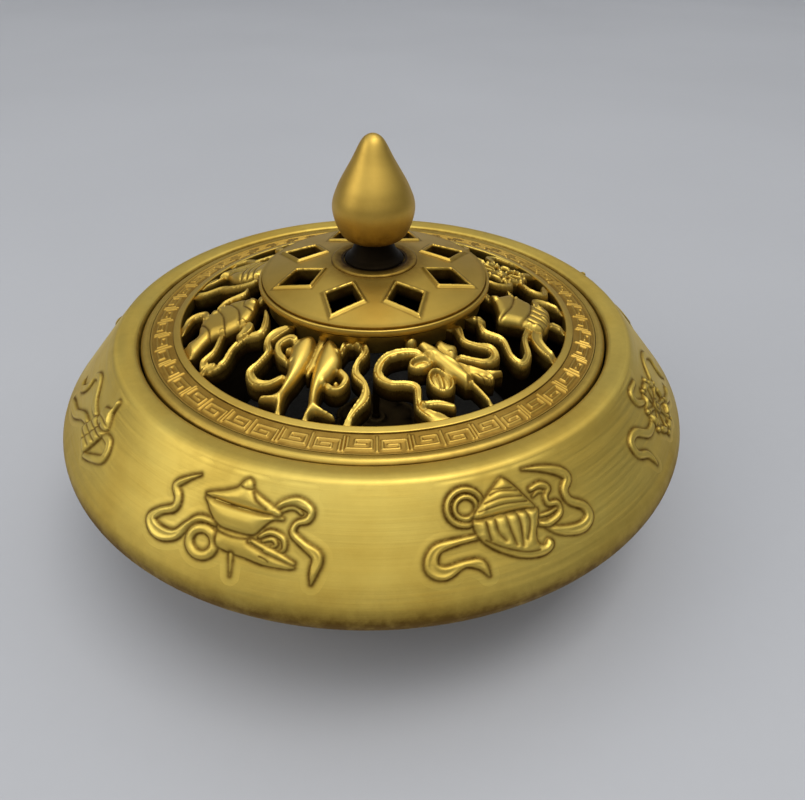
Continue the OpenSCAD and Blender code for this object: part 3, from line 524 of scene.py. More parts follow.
def draw_pierced_fish(s):
    s.ribbons([
        [[-7.6, 19.2, 1.1], [-9.6, 21.2, 2.1], [-10, 23.2, 1.5], [-8.9, 25, 1.2],
         [-9.3, 27.4, 1.1], [-9.9, 29.6, 1.5], [-8, 31.4, 1.5], [-5.6, 31.2, 1.1],
         [-3.8, 29.4, 0.9]],
        [[3.1, 22.6, 1.1], [3.5, 20.6, 1.3], [5.2, 19.9, 1.4], [7, 21.2, 1.4],
         [6.7, 23.6, 1.1], [7.2, 25.7, 1.4], [9.4, 27.2, 1.1], [10.3, 29.6, 1.7],
         [9.7, 32.4, 1.3], [9.3, 37, 0.9]]], 1.1, 0.4)
    s.ribbon([[5.2, 18.6, 1.2], [5.2, 20.2, 1.1]], 1.0, 0)
    s.ribbon([[-1.4, 18.8, 1.2], [-0.9, 21.8, 1.3], [-0.7, 25, 1.5], [-0.4, 27.6, 0.7]],
             0.45, 0)
    s.ribbon([[-4.2, 26.6, 0.9], [-6.6, 25.4, 1.2], [-7.7, 23.4, 1.3], [-6.4, 21.7, 1.3],
              [-4.8, 22.6, 1.1], [-5.6, 24.4, 0.8]], 1.2, 0.2)
    s.ribbon([[4.4, 26, 0.9], [6.2, 27.2, 1.1], [5.9, 29.1, 1.2], [4.4, 29.6, 1.1],
              [3.2, 28.9, 0.8]], 1.2, 0.2)
    s.dot(4.9, 28.4, 0.5, 0.9)
    s.blob([[-2.6, 20.8], [-1.7, 21.6], [-1.2, 24], [-1.1, 27], [-1.4, 29.6],
            [-1.9, 32.4], [-1.1, 36.8], [-1.9, 36.8], [-3, 34.3], [-5.8, 34.3],
            [-5.7, 33.6], [-3.6, 32.8], [-3.4, 30.4], [-3.9, 28], [-4.9, 25.4],
            [-5.1, 23], [-4.2, 21.4]], 1.9, 2.2)
    s.blob([[0.4, 20.8], [1.8, 21.2], [3.2, 22.6], [4.2, 24.6], [3.9, 27], [3.2, 29.4],
            [3.3, 31.4], [4.2, 33], [7, 33.8], [6.8, 34.3], [3.8, 34.4], [3.2, 37],
            [2.5, 37], [2.3, 33.6], [1.5, 31.2], [0.6, 28.4], [0, 25.4], [-0.2, 22]],
           1.9, 2.2)


def draw_pierced_banner(s):
    s.ribbon([[-0.4, 24.6, 1], [-2.6, 22.9, 1.3], [-5, 22.2, 1.4], [-7.4, 22.3, 1.4],
              [-9.4, 23.8, 1.5], [-9.8, 25.6, 1.4], [-8.6, 27.3, 1.1], [-6.4, 28.2, 1.1],
              [-5.2, 29.4, 1.3], [-5.9, 31.4, 1.2], [-6.2, 33, 1.5], [-5.2, 34.8, 1.6],
              [-3.4, 35.9, 1.3], [-2, 37, 1]], 1.1, 0.45)
    s.ribbon([[-5.4, 32.6, 1.1], [-3, 33.2, 1.1], [-1.2, 34.4, 0.9]], 1.0, 0.3)
    s.ribbon([[5, 18.4, 1.4], [6.9, 19.6, 1.7], [6.8, 22.6, 1.1], [8.6, 24.1, 1.1],
              [10.7, 25, 1.6], [10.5, 27, 1.6], [8.6, 27.8, 1.2], [6.4, 27, 1.1],
              [4.6, 26, 1.1], [3, 25.2, 1]], 1.1, 0.4)
    s.ribbon([[5, 28.6, 1], [7.6, 29.8, 1.1], [9.9, 30.1, 0.6]], 0.9, 0)
    s.ribbon([[2.2, 25.8, 1.1], [4.2, 28.4, 1.5], [6, 30, 1.7], [7.3, 30.9, 1.5]], 1.1, 0.2)
    s.blob([[1.3, 23.4], [1.8, 21.9], [2.8, 21.6], [3.7, 22.6], [4.9, 23.4], [4.6, 24.6],
            [3.6, 25.8], [2.4, 26]], 1.1, 1.2)
    s.ribbon([[-2.4, 18.8, 1.0], [-2.2, 20.2, 1.2]], 0.8, 0)
    s.blob([[-4.4, 25.4], [-2.5, 24.3], [-0.8, 25.2], [-2.5, 26.4]], 0.55, 0.8)
    s.blob([[-2.6, 29.2], [-1.4, 27.4], [0.5, 28.8], [0.4, 30.8], [-1.2, 31.4]], 0.55, 0.8)
    s.loop([-2.5, 25.3], 1.9, 1.1, 0.75, 1.2)
    s.loop([-0.9, 29.4], 1.8, 2.2, 0.8, 1.2, -10)
    s.ribbon([[-0.7, 28, 0.5], [-0.9, 29.6, 0.7], [-1.2, 30.6, 0.5]], 0.7, 0)
    s.slab([[-1.5, 21.7], [-0.4, 21.3], [1.2, 23.2], [3, 26.4], [4.4, 30.2], [4.5, 31.1],
            [3.6, 31.6], [2.5, 31.4], [1.2, 29.2], [-0.2, 26.2], [-0.9, 24]], 1.7, 1.2)
    s.dot(-2.1, 20.6, 1.05, 1.5)
    s.ribbon([[3.9, 31.2, 0.8], [4.6, 33.4, 0.7], [5.4, 37.2, 0.7]], 0.9, 0)
    for k in range(3):
        s.cut([[4.6 + k * 1.1, 29.6 + k * 0.5], [5.2 + k * 1.0, 30.9 + k * 0.3]], 0.3, 0.16)


def draw_pierced_canopy(s):
    s.ribbons([
        [[-4.4, 21.6, 0.9], [-6.9, 23.2, 1.4], [-6.7, 26.4, 1.4], [-9.6, 28.8, 1.2],
         [-10.2, 30.9, 1.4], [-7.4, 31.3, 1.4], [-3.8, 29.9, 1.2], [0.6, 29.8, 1.2]],
        [[-4.6, 22.4, 1], [-4.8, 18.8, 1]],
        [[8, 25, 1.4], [9.7, 23.5, 0.7]],
        [[8.6, 30, 1.3], [11, 28.8, 1.6], [12.6, 31.4, 1.6], [11.6, 37, 1.3]]], 1.1, 0.4)
    s.ribbon([[1, 31.4, 1.7], [-2.2, 31.8, 2.2], [-4.4, 34.2, 2.1], [-5.2, 37.4, 1.7]],
             1.2, 0.3)
    s.ribbon([[5.4, 31.8, 1.5], [5, 37.2, 1.5]], 1.0, 0.2)
    s.ribbon([[4.2, 18.6, 1.3], [4.3, 22, 1.5]], 1.0, 0)
    s.blob([[3, 22.2], [4.2, 21], [5.4, 22.2], [8.6, 24.2], [8.8, 28], [9.4, 31.6],
            [6, 32.6], [2.6, 32.8], [0.6, 31.6], [0, 28.4], [-1.8, 24.6], [0.4, 23.6]],
           1.5, 1.8)
    s.cut([[-1.4, 24.8], [3.6, 25.6], [8.6, 25]], 0.4, 0.2)
    s.cut([[0.2, 28.4], [4.4, 29], [8.8, 28.2]], 0.35, 0.2)
    for x in (1.8, 3.6, 5.4, 7.2):
        s.cut([[x, 29.2], [x - 0.1, 32.4]], 0.35, 0.2)


def draw_pierced_wheel(s):
    half = [[[4.4, 27, 1.1], [6.9, 25.6, 1.3], [7.1, 22.6, 1.2], [5.4, 20.4, 1.2],
             [3.6, 18.6, 1]],
            [[4.2, 29.4, 1.1], [8, 29.8, 1.5], [9.2, 32.4, 1.5], [6.4, 34.6, 1.4],
             [5.6, 37.4, 1.3]]]
    s.pair(half, 1.1, 0.4)
    s.ribbon([[0, 18.5, 1.5], [0, 24, 1.5]], 1.0, 0.2)
    s.ribbon([[0, 32.4, 1.5], [0, 37.4, 1.5]], 1.0, 0.2)
    draw_wheel(s, 0, 28, 4.9)


def draw_pierced_lotus(s):
    half = [[[0.4, 32.6, 1.1], [3.6, 34, 1.5], [7.4, 33.4, 1.5], [9.4, 30.6, 1.4],
             [8.8, 27, 1.4], [10, 24.4, 1.2]],
            [[3.4, 33.6, 1.3], [3, 37.4, 1.3]]]
    s.pair(half, 1.1, 0.4)
    s.ribbon([[0, 18.5, 1.5], [0, 24.4, 1.5]], 1.0, 0.2)
    draw_petals(s, (0, 31), (110, 250, 145, 215, 180), PETAL, 1.3)
    s.dot(0, 31, 2.4, 1.6)


def draw_pierced_knot(s):
    half = [[[5, 28, 1.1], [8, 26.8, 1.5], [8.4, 23.8, 1.5], [6, 21.6, 1.3],
             [5.6, 18.6, 1.1]],
            [[5.6, 28.4, 1.1], [9, 29.8, 1.5], [9.4, 32.6, 1.5], [7, 34.8, 1.4],
             [6.6, 37.4, 1.1]]]
    s.pair(half, 1.1, 0.4)
    s.ribbon([[0, 18.5, 1.3], [0, 22.6, 1.3]], 1.0, 0)
    s.ribbon([[0, 33, 1.3], [0, 37.4, 1.3]], 1.0, 0)
    draw_knot(s, 0, 28, 2.6, 1.1)


def draw_pierced_conch(s):
    s.ribbons([
        [[3, 24, 1], [5, 22.6, 1.2], [6.2, 24.4, 1.1], [6.7, 27.4, 1.2], [6.4, 30, 1.3],
         [8, 33, 1.3], [7.6, 37, 1.2]],
        [[-3.6, 24.6, 1.1], [-6.6, 22, 1.5], [-9.6, 23.4, 1.5], [-9.2, 27, 1.5],
         [-6.8, 29.6, 1.4], [-8.2, 33, 1.5], [-6, 37, 1.3]]], 1.1, 0.4)
    s.ribbon([[-0.8, 18.6, 1.3], [-0.6, 22, 1.5]], 1.0, 0)
    s.ribbon([[0.2, 33, 1.3], [2.8, 34.6, 1.6], [4.6, 37.2, 1.5]], 1.0, 0.2)
    s.blob([[-3.4, 23.4], [-0.6, 21.4], [2.4, 22.4], [3.8, 25.4], [3, 29], [0.4, 32.2],
            [0.8, 34], [-0.8, 34.4], [-3.2, 31.4], [-4.6, 27.4]], 1.6, 1.8)
    for k in range(3):
        s.cut([[-3.8 + k * 0.2, 24.4 + k * 1.3], [0, 25.2 + k * 1.3],
               [3.6 - k * 0.1, 24.2 + k * 1.4]], 0.35, 0.2)
    for x in (-2.4, -0.8, 0.8):
        s.cut([[x, 28.4], [x * 0.6, 31]], 0.4, 0.2)


RELIEFS = (("relief_banner", -1.5, draw_relief_banner),
           ("relief_vase", -0.5, draw_relief_vase),
           ("relief_conch", 0.5, draw_relief_conch),
           ("relief_wheel", 1.5, draw_relief_wheel),
           ("relief_parasol", 2.5, draw_relief_parasol),
           ("relief_fish", 3.5, draw_relief_fish),
           ("relief_lotus", -2.5, draw_relief_lotus),
           ("relief_knot", -3.5, draw_relief_knot))

PIERCED = (("pierced_roll", -1.5, draw_pierced_roll),
           ("pierced_fish", -0.5, draw_pierced_fish),
           ("pierced_banner", 0.5, draw_pierced_banner),
           ("pierced_canopy", 1.5, draw_pierced_canopy),
           ("pierced_wheel", 2.5, draw_pierced_wheel),
           ("pierced_lotus", 3.5, draw_pierced_lotus),
           ("pierced_knot", -3.5, draw_pierced_knot),
           ("pierced_conch", -2.5, draw_pierced_conch))


# ---- Meshes ----

def make_object(name, verts, faces, dark, sharp=35):
    """A smooth-shaded mesh from arrays, with its darkness, real patina and painted shade, kept
    at every vertex.
    """
    mesh = bpy.data.meshes.new(name)
    mesh.vertices.add(len(verts))
    mesh.vertices.foreach_set("co", (np.asarray(verts, float) * MM).ravel())
    mesh.loops.add(faces.size)
    mesh.loops.foreach_set("vertex_index", faces.astype(np.int32).ravel())
    mesh.polygons.add(len(faces))
    side = faces.shape[1]
    mesh.polygons.foreach_set("loop_start", np.arange(0, faces.size, side))
    mesh.polygons.foreach_set("use_smooth", np.ones(len(faces), bool))
    mesh.update(calc_edges=True)
    layer = mesh.attributes.new("patina_and_shade", "FLOAT", "POINT")
    layer.data.foreach_set("value", np.clip(dark, 0, 1).astype(np.float32))
    obj = bpy.data.objects.new(name, mesh)
    bpy.context.scene.collection.objects.link(obj)
    weld(mesh)
    mesh.set_sharp_from_angle(angle=math.radians(sharp))
    return obj


def weld(mesh):
    """Joins points that meet, such as a lathe's points on its axis."""
    bm = bmesh.new()
    bm.from_mesh(mesh)
    bmesh.ops.remove_doubles(bm, verts=bm.verts, dist=2e-6)
    bmesh.ops.dissolve_degenerate(bm, dist=1e-7, edges=bm.edges)
    loose = [v for v in bm.verts if not v.link_faces]
    bmesh.ops.delete(bm, geom=loose, context="VERTS")
    bm.to_mesh(mesh)
    bm.free()


def ring_faces(steps, n, closed=True):
    """Faces of an outline of n points turned once round in so many steps."""
    i, j = np.meshgrid(np.arange(steps), np.arange(n if closed else n - 1), indexing="ij")
    i2, j2 = (i + 1) % steps, (j + 1) % n
    return np.stack([i * n + j, i2 * n + j, i2 * n + j2, i * n + j2], -1).reshape(-1, 4)


def revolve(name, profile, steps=288, closed=True, wobble=None, sharp=35):
    """Turns an outline of [radius, height, darkness] round the axis, the darkness holding real
    patina and painted shade. The outline runs anticlockwise, with the radius to the right.
    wobble changes radii and heights."""
    p = np.array([list(q) + [0.0] * (3 - len(q)) for q in profile], float)
    a = np.linspace(0, 2 * math.pi, steps, endpoint=False)[:, None]
    r = np.repeat(p[None, :, 0], steps, 0)
    z = np.repeat(p[None, :, 1], steps, 0)
    dark = np.repeat(p[None, :, 2], steps, 0)
    if wobble:
        r, z, dark = wobble(a, r, z, dark)
    verts = around(a, r, z).reshape(-1, 3)
    return make_object(name, verts, ring_faces(steps, len(p), closed), dark.ravel(), sharp)


def cells(grid):
    """All four-cornered faces of a grid."""
    n, m = grid.shape
    i, j = np.meshgrid(np.arange(n - 1), np.arange(m - 1), indexing="ij")
    faces = np.stack([i * m + j, (i + 1) * m + j, (i + 1) * m + j + 1, i * m + j + 1], -1)
    return faces.reshape(-1, 4)


def shell(name, top, bottom, faces, dark, dark_low, sharp=50):
    """A closed solid between two layers of the same grid, with walls along its edges."""
    count = len(top)
    edges = np.concatenate([faces[:, [k, (k + 1) % 4]] for k in range(4)])
    key = edges.min(1) * count + edges.max(1)
    _, first, times = np.unique(key, return_index=True, return_counts=True)
    rim = edges[first[times == 1]]
    near, far = rim + 2 * count, rim + count
    high_wall = np.stack([rim[:, 1], rim[:, 0], near[:, 0], near[:, 1]], 1)
    low_wall = np.stack([near[:, 1], near[:, 0], far[:, 0], far[:, 1]], 1)
    under = faces[:, ::-1] + count
    verts = np.concatenate([top, bottom, top + (bottom - top) * 0.12])
    both = np.concatenate([faces, under, high_wall, low_wall])
    used = np.unique(both)
    place = np.zeros(3 * count, int)
    place[used] = np.arange(len(used))
    # Bottoms take dark_low and the walls 0.8: painted shade on undersides and on the walls of
    # openings.
    darkness = np.concatenate([dark, np.full(count, dark_low), np.full(count, 0.8)])
    return make_object(name, verts[used], place[both], darkness[used], sharp)


def snapped(x, y, inside, reach):
    """Pulls the grid points just outside an outline onto it. Returns the moved grid, which
    faces to keep and how far inside each point now is."""
    gx, gy = np.gradient(inside)
    xi, xj = np.gradient(x)
    yi, yj = np.gradient(y)
    det = xi * yj - xj * yi
    dx = (gx * yj - gy * yi) / det
    dy = (gy * xi - gx * xj) / det
    size = np.maximum(np.hypot(dx, dy), 0.3)
    near = (inside <= 0) & (inside > -reach)
    move = np.where(near, -inside, 0)
    x = x + move * dx / size
    y = y + move * dy / size
    usable = (inside > -reach).ravel()
    deep = (inside > 0).ravel()
    faces = cells(inside)
    good = usable[faces].all(1) & deep[faces].any(1)
    return x, y, faces[good], np.maximum(inside, 0)


def side_point(azimuth, x, y, h):
    """Place on the bowl's side: x round it, y up the slope, h outwards."""
    a = np.radians(azimuth) + x / SIDE_R
    r = SIDE_FOOT[0] + SIDE_UP[0] * y + SIDE_OUT[0] * h
    z = SIDE_FOOT[1] + SIDE_UP[1] * y + SIDE_OUT[1] * h
    return around(a, r, z)


def relief_piece(name, place, draw):
    s = Sketch((-17.6, -1.4), (17.6, 15.4), 0.14, 0.42, 0.85)
    draw(s)
    s.soften(4)
    out = np.maximum(-s.inside, 0)
    spread = 1 - soft((out - 0.2) / 2.3)
    ground = -0.04 + 0.07 * spread - 0.02 * np.exp(-(out / 0.3) ** 2)
    sunk = -0.07
    ground = np.minimum(ground, sunk + (ground - sunk) * soft((15.3 - s.y) / 0.6))
    h = np.where(s.inside > 0, 0.01 + 0.68 * s.height, ground)
    top = side_point(place * EMBLEM_STEP, s.x, s.y, h)
    low = side_point(place * EMBLEM_STEP, s.x, s.y, np.full(h.shape, -RELIEF_ROOT))
    keep = (s.inside > -RELIEF_SKIRT).ravel()
    faces = cells(s.x)
    faces = faces[keep[faces].all(1)]
    return shell(name, top.reshape(-1, 3), low.reshape(-1, 3), faces, s.dark.ravel(), 0.5)


def dome_point(azimuth, x, y, h):
    """Place on the lid's dome: x to the side, y outwards, h above it."""
    a = math.radians(azimuth)
    z = dome_top(np.hypot(x, y)) + h
    return np.stack([y * math.sin(a) + x * math.cos(a), -y * math.cos(a) + x * math.sin(a),
                     z], -1)


def pierced_piece(name, place, draw):
    s = Sketch((-15.4, 18.2), (15.4, 38.2), 0.15, 0.3, 0.5, 1.1, 0.5)
    draw(s)
    s.soften(2)
    r = np.hypot(s.x, s.y)
    inside = np.minimum(s.inside, np.minimum(r - (COLLAR_R - 0.6), FIELD_R + 0.35 - r))
    x, y, faces, depth = snapped(s.x, s.y, inside, 0.24)
    edge = 0.16 * (1 - soft(depth / 0.22))
    h = s.height * soft(depth / 0.25 + 0.6) - 0.75 - edge
    joint = soft(np.minimum(r - COLLAR_R, FIELD_R - r) / 1.2)
    h = h * joint - 0.5 * (1 - joint)
    top = dome_point(place * EMBLEM_STEP, x, y, h).reshape(-1, 3)
    low = dome_point(place * EMBLEM_STEP, x, y, np.full(h.shape, -PIERCED_T)).reshape(-1, 3)
    return shell(name, top, low, faces[:, ::-1], s.dark.ravel(), 1.0)


# ---- Fret ----

FRET_LINE = 0.36
FRET_MID = 39.7
FRET_PATH = [[1.95, 41.0], [1.95, 38.95], [-1.7, 38.95], [-1.7, 40.6], [0.75, 40.6],
             [0.75, 39.75], [-0.75, 39.75]]


def fret_piece():
    per_unit = 36
    steps = per_unit * FRET_UNITS
    unit = 2 * math.pi * FRET_MID / FRET_UNITS
    radii = np.arange(FRET_IN + 0.04, FRET_OUT - 0.03, 0.13)
    x = (np.arange(per_unit) / per_unit - 0.5) * unit
    x, r = np.meshgrid(x, radii, indexing="ij")
    bar = np.hypot(np.abs(np.abs(x) - unit / 2), np.maximum(np.abs(r - 39.55) - 1.55, 0))
    walls = []
    for turn in (1, -1):
        away = bar
        for a, b in zip(FRET_PATH[:-1], FRET_PATH[1:]):
            away = np.minimum(away, nearest(x * turn, FRET_MID + (r - FRET_MID) * turn, a, b)[1])
        walls.append(away)
    away = np.concatenate([walls[i % 2] for i in range(FRET_UNITS)])
    r = np.tile(radii, (steps, 1))
    line = soft((FRET_LINE / 2 + 0.13 - away) / 0.24)
    line = line * soft((41.15 - r) / 0.15) * soft((r - 37.95) / 0.15)
    border = soft((r - 41.25) / 0.25)
    h = np.maximum(line, border)
    z = ring_top(r) - 0.3 + 0.27 * h
    dark = 0.62 - 0.55 * h
    # The band's hidden underside is painted black: painted shade.
    under_r = np.repeat([[radii[-1], radii[0]]], steps, 0)
    r = np.concatenate([r, under_r], 1)
    z = np.concatenate([z, ring_top(under_r) - 0.96], 1)
    dark = np.concatenate([dark, np.ones((steps, 2))], 1)
    a = ((np.arange(steps) + 0.5) / steps * 2 * math.pi)[:, None]
    verts = around(a, r, z).reshape(-1, 3)
    faces = ring_faces(steps, r.shape[1])[:, ::-1]
    return make_object("fret_band", verts, faces, dark.ravel(), 60)


# ---- Turned pieces ----
# An outline's points are [radius, height, radius of the rounded corner, darkness], the darkness
# holding real patina and painted shade.

def bowl_piece():
    belly = arc(BELLY_C, BELLY_ROUND, UNDER_SLOPE - 90, 90 - SIDE_SLOPE, 16)
    wall_top = SIDE_FOOT - SIDE_OUT * WALL
    shelf_h = SEAT_H - SEAT_T
    shelf_r = wall_top[0] + (shelf_h - wall_top[1]) * SIDE_UP[0] / SIDE_UP[1]
    end = BELLY_C + BELLY_ROUND * np.array([math.sin(UNDER), -math.cos(UNDER)])
    floor_r = (end[0] - WALL * math.sin(UNDER)
               - (end[1] + WALL * math.cos(UNDER) - FLOOR_H) / math.tan(UNDER))
    # The underside and the belly's rounding are painted dark brown, fading out just above the
    # belly's edge: painted shade and the painted reflection of the shaded floor beneath.
    outer = [[0, PAD_H, 0, 0.85], [PAD_R, PAD_H, 0.5, 0.85]]
    for t in np.arange(1, 8) / 8:
        outer.append([PAD_R + (belly[0][0] - PAD_R) * t, PAD_H + (belly[0][1] - PAD_H) * t,
                      0, 0.85 - 0.1 * t])
    for k, q in enumerate(belly):
        outer.append([q[0], q[1], 0, 0.88 - 0.6 * soft((k - 8) / 8)])
    for k in range(1, 8):
        q = SIDE_FOOT + SIDE_UP * k * 1.9
        outer.append([q[0], q[1], 0, 0.1 if k == 1 else 0])
    # From the mouth down, the lid's seat and shelf are painted dark: painted shade between bowl
    # and lid.
    outer += [[SHOULDER_R, RIM_H - 0.15, 0.9, 0.1], [SHOULDER_R - 1.3, RIM_H, 0.6, 0.15],
              [MOUTH_R + 0.5, RIM_H - 0.25, 0.5, 0.2], [MOUTH_R, RIM_IN_H - 0.1, 0.3, 0.6],
              [MOUTH_R, SEAT_H, 0.3, 1], [SEAT_R, SEAT_H, 0.3, 0.8],
              [SEAT_R, shelf_h, 0.3, 1], [shelf_r, shelf_h, 0.3, 1]]
    # The inside is painted near black: painted shade inside the closed bowl.
    inner = [[q[0], q[1], 0, 1]
             for q in arc(BELLY_C, BELLY_ROUND - WALL, 90 - SIDE_SLOPE, UNDER_SLOPE - 90, 10)]
    inner += [[floor_r, FLOOR_H, 1.5, 1], [0, FLOOR_H, 0, 1]]
    return revolve("bowl_body_cast", rounded(outer + inner, closed=False), 360, False)


def foot_piece():
    r = FOOT_TOP[0]
    p = [[r - 4, 0.5, 0.4, 0.9], [r - 3.6, 0, 0.2, 0.6], [r - 0.5, 0, 0.3, 0.4],
         [r, 0.5, 0.3, 0.3], [r, 1.8, 0.5, 0.4], [r - 1.1, 2.8, 0.6, 0.8],
         [r - 1.1, PAD_H - 1.4, 0.6, 0.9], [r, PAD_H - 0.4, 0.3, 0.9],
         [r, PAD_H + 0.1, 0, 1], [r - 4, PAD_H + 0.1, 0, 1]]
    return revolve("foot_ring_turned", rounded(p), 256)


def lid_ring_piece():
    base = SEAT_H + 0.1
    # The outer wall inside the bowl's mouth, the fret's socket, the inner wall and the skirt are
    # painted dark: painted shade under and between parts.
    p = [[LID_R, base, 0.2, 1], [LID_R, RIM_IN_H - 0.4, 0.3, 0.6],
         [LID_R - 0.25, RIM_IN_H + 0.05, 0.25, 0.3],
         [LID_R - 0.8, ring_top(LID_R - 0.8) + 0.25, 0.4, 0.2],
         [LID_R - 1.5, ring_top(LID_R - 1.5) + 0.05, 0.5, 0.35],
         [FRET_OUT, ring_top(FRET_OUT) - 0.02, 0, 0.25],
         [FRET_OUT, ring_top(FRET_OUT) - 1, 0.1, 1], [FRET_IN, ring_top(FRET_IN) - 1, 0.1, 1],
         [FRET_IN, ring_top(FRET_IN) - 0.1, 0.12, 0.7],
         [FRET_IN - 0.15, ring_top(FRET_IN - 0.15), 0.2, 0.1],
         [FIELD_R + 0.05, ring_top(FIELD_R) + 0.02, 0.35],
         [FIELD_R - 0.1, ring_top(FIELD_R) - 0.6, 0.3, 0.5],
         [FIELD_R, ring_top(FIELD_R) - PIERCED_T, 0.4, 1],
         [SEAT_R - 2.1, base - 5, 0.2, 1], [SEAT_R - 0.5, base - 5, 0.3, 0.9],
         [SEAT_R - 0.5, base, 0.2, 1]]
    return revolve("lid_ring_cast", rounded(p), 360)


VENT = np.array([[0, 9.5], [3.9, 13.7], [0, 19.1]])


def rhomb_distance(x, y):
    """How far inside the nearest of the disc's vents each point is. VENT is one half of a
    vent's outline, from its inner to its outer corner."""
    a = np.arctan2(x, -y)
    r = np.hypot(x, y)
    step = math.radians(EMBLEM_STEP)
    local = (a / step - np.floor(a / step) - 0.5) * step
    u, v = np.abs(r * np.sin(local)), r * np.cos(local)
    d = np.full(x.shape, 99.0)
    for p, q in zip(VENT[:-1], VENT[1:]):
        e = (q - p) / np.linalg.norm(q - p)
        d = np.minimum(d, e[1] * (p[0] - u) - e[0] * (p[1] - v))
    return d


def disc_piece():
    steps = 640
    radii = np.concatenate([[2.2, 5.0, 7.6, 8.2, 8.8], np.arange(9.0, DISC_R - 0.6, 0.2)])
    a = np.arange(steps + 1) / steps * 2 * math.pi
    a, r = np.meshgrid(a, radii, indexing="ij")
    x, y = r * np.sin(a), -r * np.cos(a)
    x, y, faces, depth = snapped(x, y, 0.45 - rhomb_distance(x, y), 0.3)
    round_once = steps * len(radii)
    faces = np.where(faces >= round_once, faces - round_once, faces)
    r = np.hypot(x, y)
    frame_w = 0.75
    bead = soft(depth / 0.2 + 0.3) * soft((frame_w - depth) / 0.35)
    cone = disc_top(np.maximum(r, 8))
    z = cone + 0.4 * bead * soft((r - 7.6) / 0.8)
    crease = np.exp(-((depth - frame_w - 0.1) / 0.25) ** 2)
    # Darker near the boss, painted shade under the bud, and darker in the groove inside the lip.
    boss_shade_and_lip_groove = 0.5 * (1 - soft((r - 8) / 4)) * (1 - bead) + 0.3 * soft((r - 19.6) / 0.9)
    dark = np.maximum(0.6 * crease, boss_shade_and_lip_groove)
    low = np.stack([x, y, cone - DISC_T], -1).reshape(-1, 3)
    top = np.stack([x, y, z], -1).reshape(-1, 3)
    plate = shell("lid_disc_cast", top, low, faces, dark.ravel(), 1.0, 50)
    low_h, under_h = LIP_H - COLLAR_H, LIP_H - DISC_EDGE_T
    # The collar under the lip and the lip's underside are darkened: painted shade beneath the
    # lip.
    lip = [[COLLAR_R - 2, low_h, 0.2, 1], [COLLAR_R, low_h, 0.3, 0.4],
           [COLLAR_R, under_h - 0.5, 0.3, 0.4], [DISC_R, under_h, 0.3, 0.5],
           [DISC_R, LIP_H - 0.45, 0.2, 0.25], [DISC_R - 0.12, LIP_H - 0.03, 0.15, 0],
           [DISC_R - 0.5, LIP_H, 0.2, 0], [DISC_R - 0.75, LIP_H - 0.25, 0.15, 0.9],
           [DISC_R - 1.2, LIP_H - 0.1, 0.1, 0.5], [COLLAR_R - 2, LIP_H - 0.6, 0.2, 1]]
    ring = revolve("lid_disc_lip", rounded(lip, 0.15), 360)
    return joined(plate, ring)


def joined(first, other):
    """Puts the other mesh into the first object, as a loose part of one piece."""
    bm = bmesh.new()
    bm.from_mesh(first.data)
    bm.from_mesh(other.data)
    bm.to_mesh(first.data)
    bm.free()
    bpy.data.objects.remove(other)
    first.data.polygons.foreach_set("use_smooth", np.ones(len(first.data.polygons), bool))
    first.data.set_sharp_from_angle(angle=math.radians(40))
    return first


def bud_piece():
    rise = BUD_TOP[2] - BUD_LOW[2]
    r = BUD_TOP[0]
    # The bottom and its underside are painted dark brown, fading out a third of the way up:
    # painted shade and the painted reflection of the dark lid below.
    side = smooth_path([[3.3, 0, 1], [0.8 * r, 0.07 * rise, 0.75], [r, 0.31 * rise, 0.05],
                        [0.87 * r, 0.51 * rise, 0], [0.5 * r, 0.77 * rise, 0],
                        [0.28 * r, 0.93 * rise, 0], [0.13 * r, 0.985 * rise, 0],
                        [0, rise, 0]], 12)
    p = [[0, BUD_LOW[2] + 0.3, 0.9], [2.0, BUD_LOW[2] + 0.3, 0.9]]
    p += [[max(q[0], 0), BUD_LOW[2] + q[1], q[2]] for q in side]
    return revolve("finial_bud_turned", p, 192, False, sharp=50)


def neck_piece():
    low, top = NECK_LOW[2], NECK_TOP[2]
    side = smooth_path([[NECK_TOP[0], low - 0.1, 0.9], [NECK_TOP[0], low + 0.5, 0.8],
                        [4.4, low + 1.4, 0.8], [3.5, top - 0.8, 0.9], [3.3, top + 0.1, 1]], 8)
    p = [[2.0, low - 0.1, 1]] + [list(q) for q in side] + [[2.0, top + 0.1, 1]]
    return revolve("finial_neck_turned", p, 160)


def boss_piece():
    z = BOSS_LOW[2]
    # The ring is dark all round: painted shade under the bud.
    p = [[5.6, z - 0.1, 0, 1], [7.9, z - 0.1, 0, 0.85], [7.9, z + 0.2, 0.2, 0.8],
         [7.5, z + 0.45, 0.3, 0.55], [6.4, z + 0.45, 0.3, 0.8], [5.9, z + 0.3, 0.3, 0.95],
         [5.6, z + 0.3, 0, 1]]
    return revolve("boss_ring_turned", rounded(p), 192)


def mat_piece():
    low, top, r = MAT_LOW[2], MAT_TOP[2], MAT_TOP[0]
    fine = rounded([[0, low, 0], [r * 0.5, low, 0], [r - 0.9, low, 0.6], [r, low + 0.9, 0.7],
                    [r, top - 0.9, 0.7], [r - 0.9, top - 0.1, 0.6]], 0.5, closed=False)
    rings = 40
    for k in range(1, rings + 1):
        fine.append([(r - 0.9) * (1 - k / rings), top - 0.12, 0])

    def fluff(a, rr, zz, dark):
        edge = soft((rr - r + 2) / 2)
        rr = rr - edge * (0.18 + 0.1 * np.sin(a * 7 + 1) + 0.08 * np.sin(a * 19))
        zz = zz - (zz > top - 0.3) * (0.06 + 0.06 * np.sin(rr * 0.9 + 2 * np.sin(a * 3)))
        return rr, zz, dark
    return revolve("heat_mat_felt", fine, 220, False, fluff, 60)


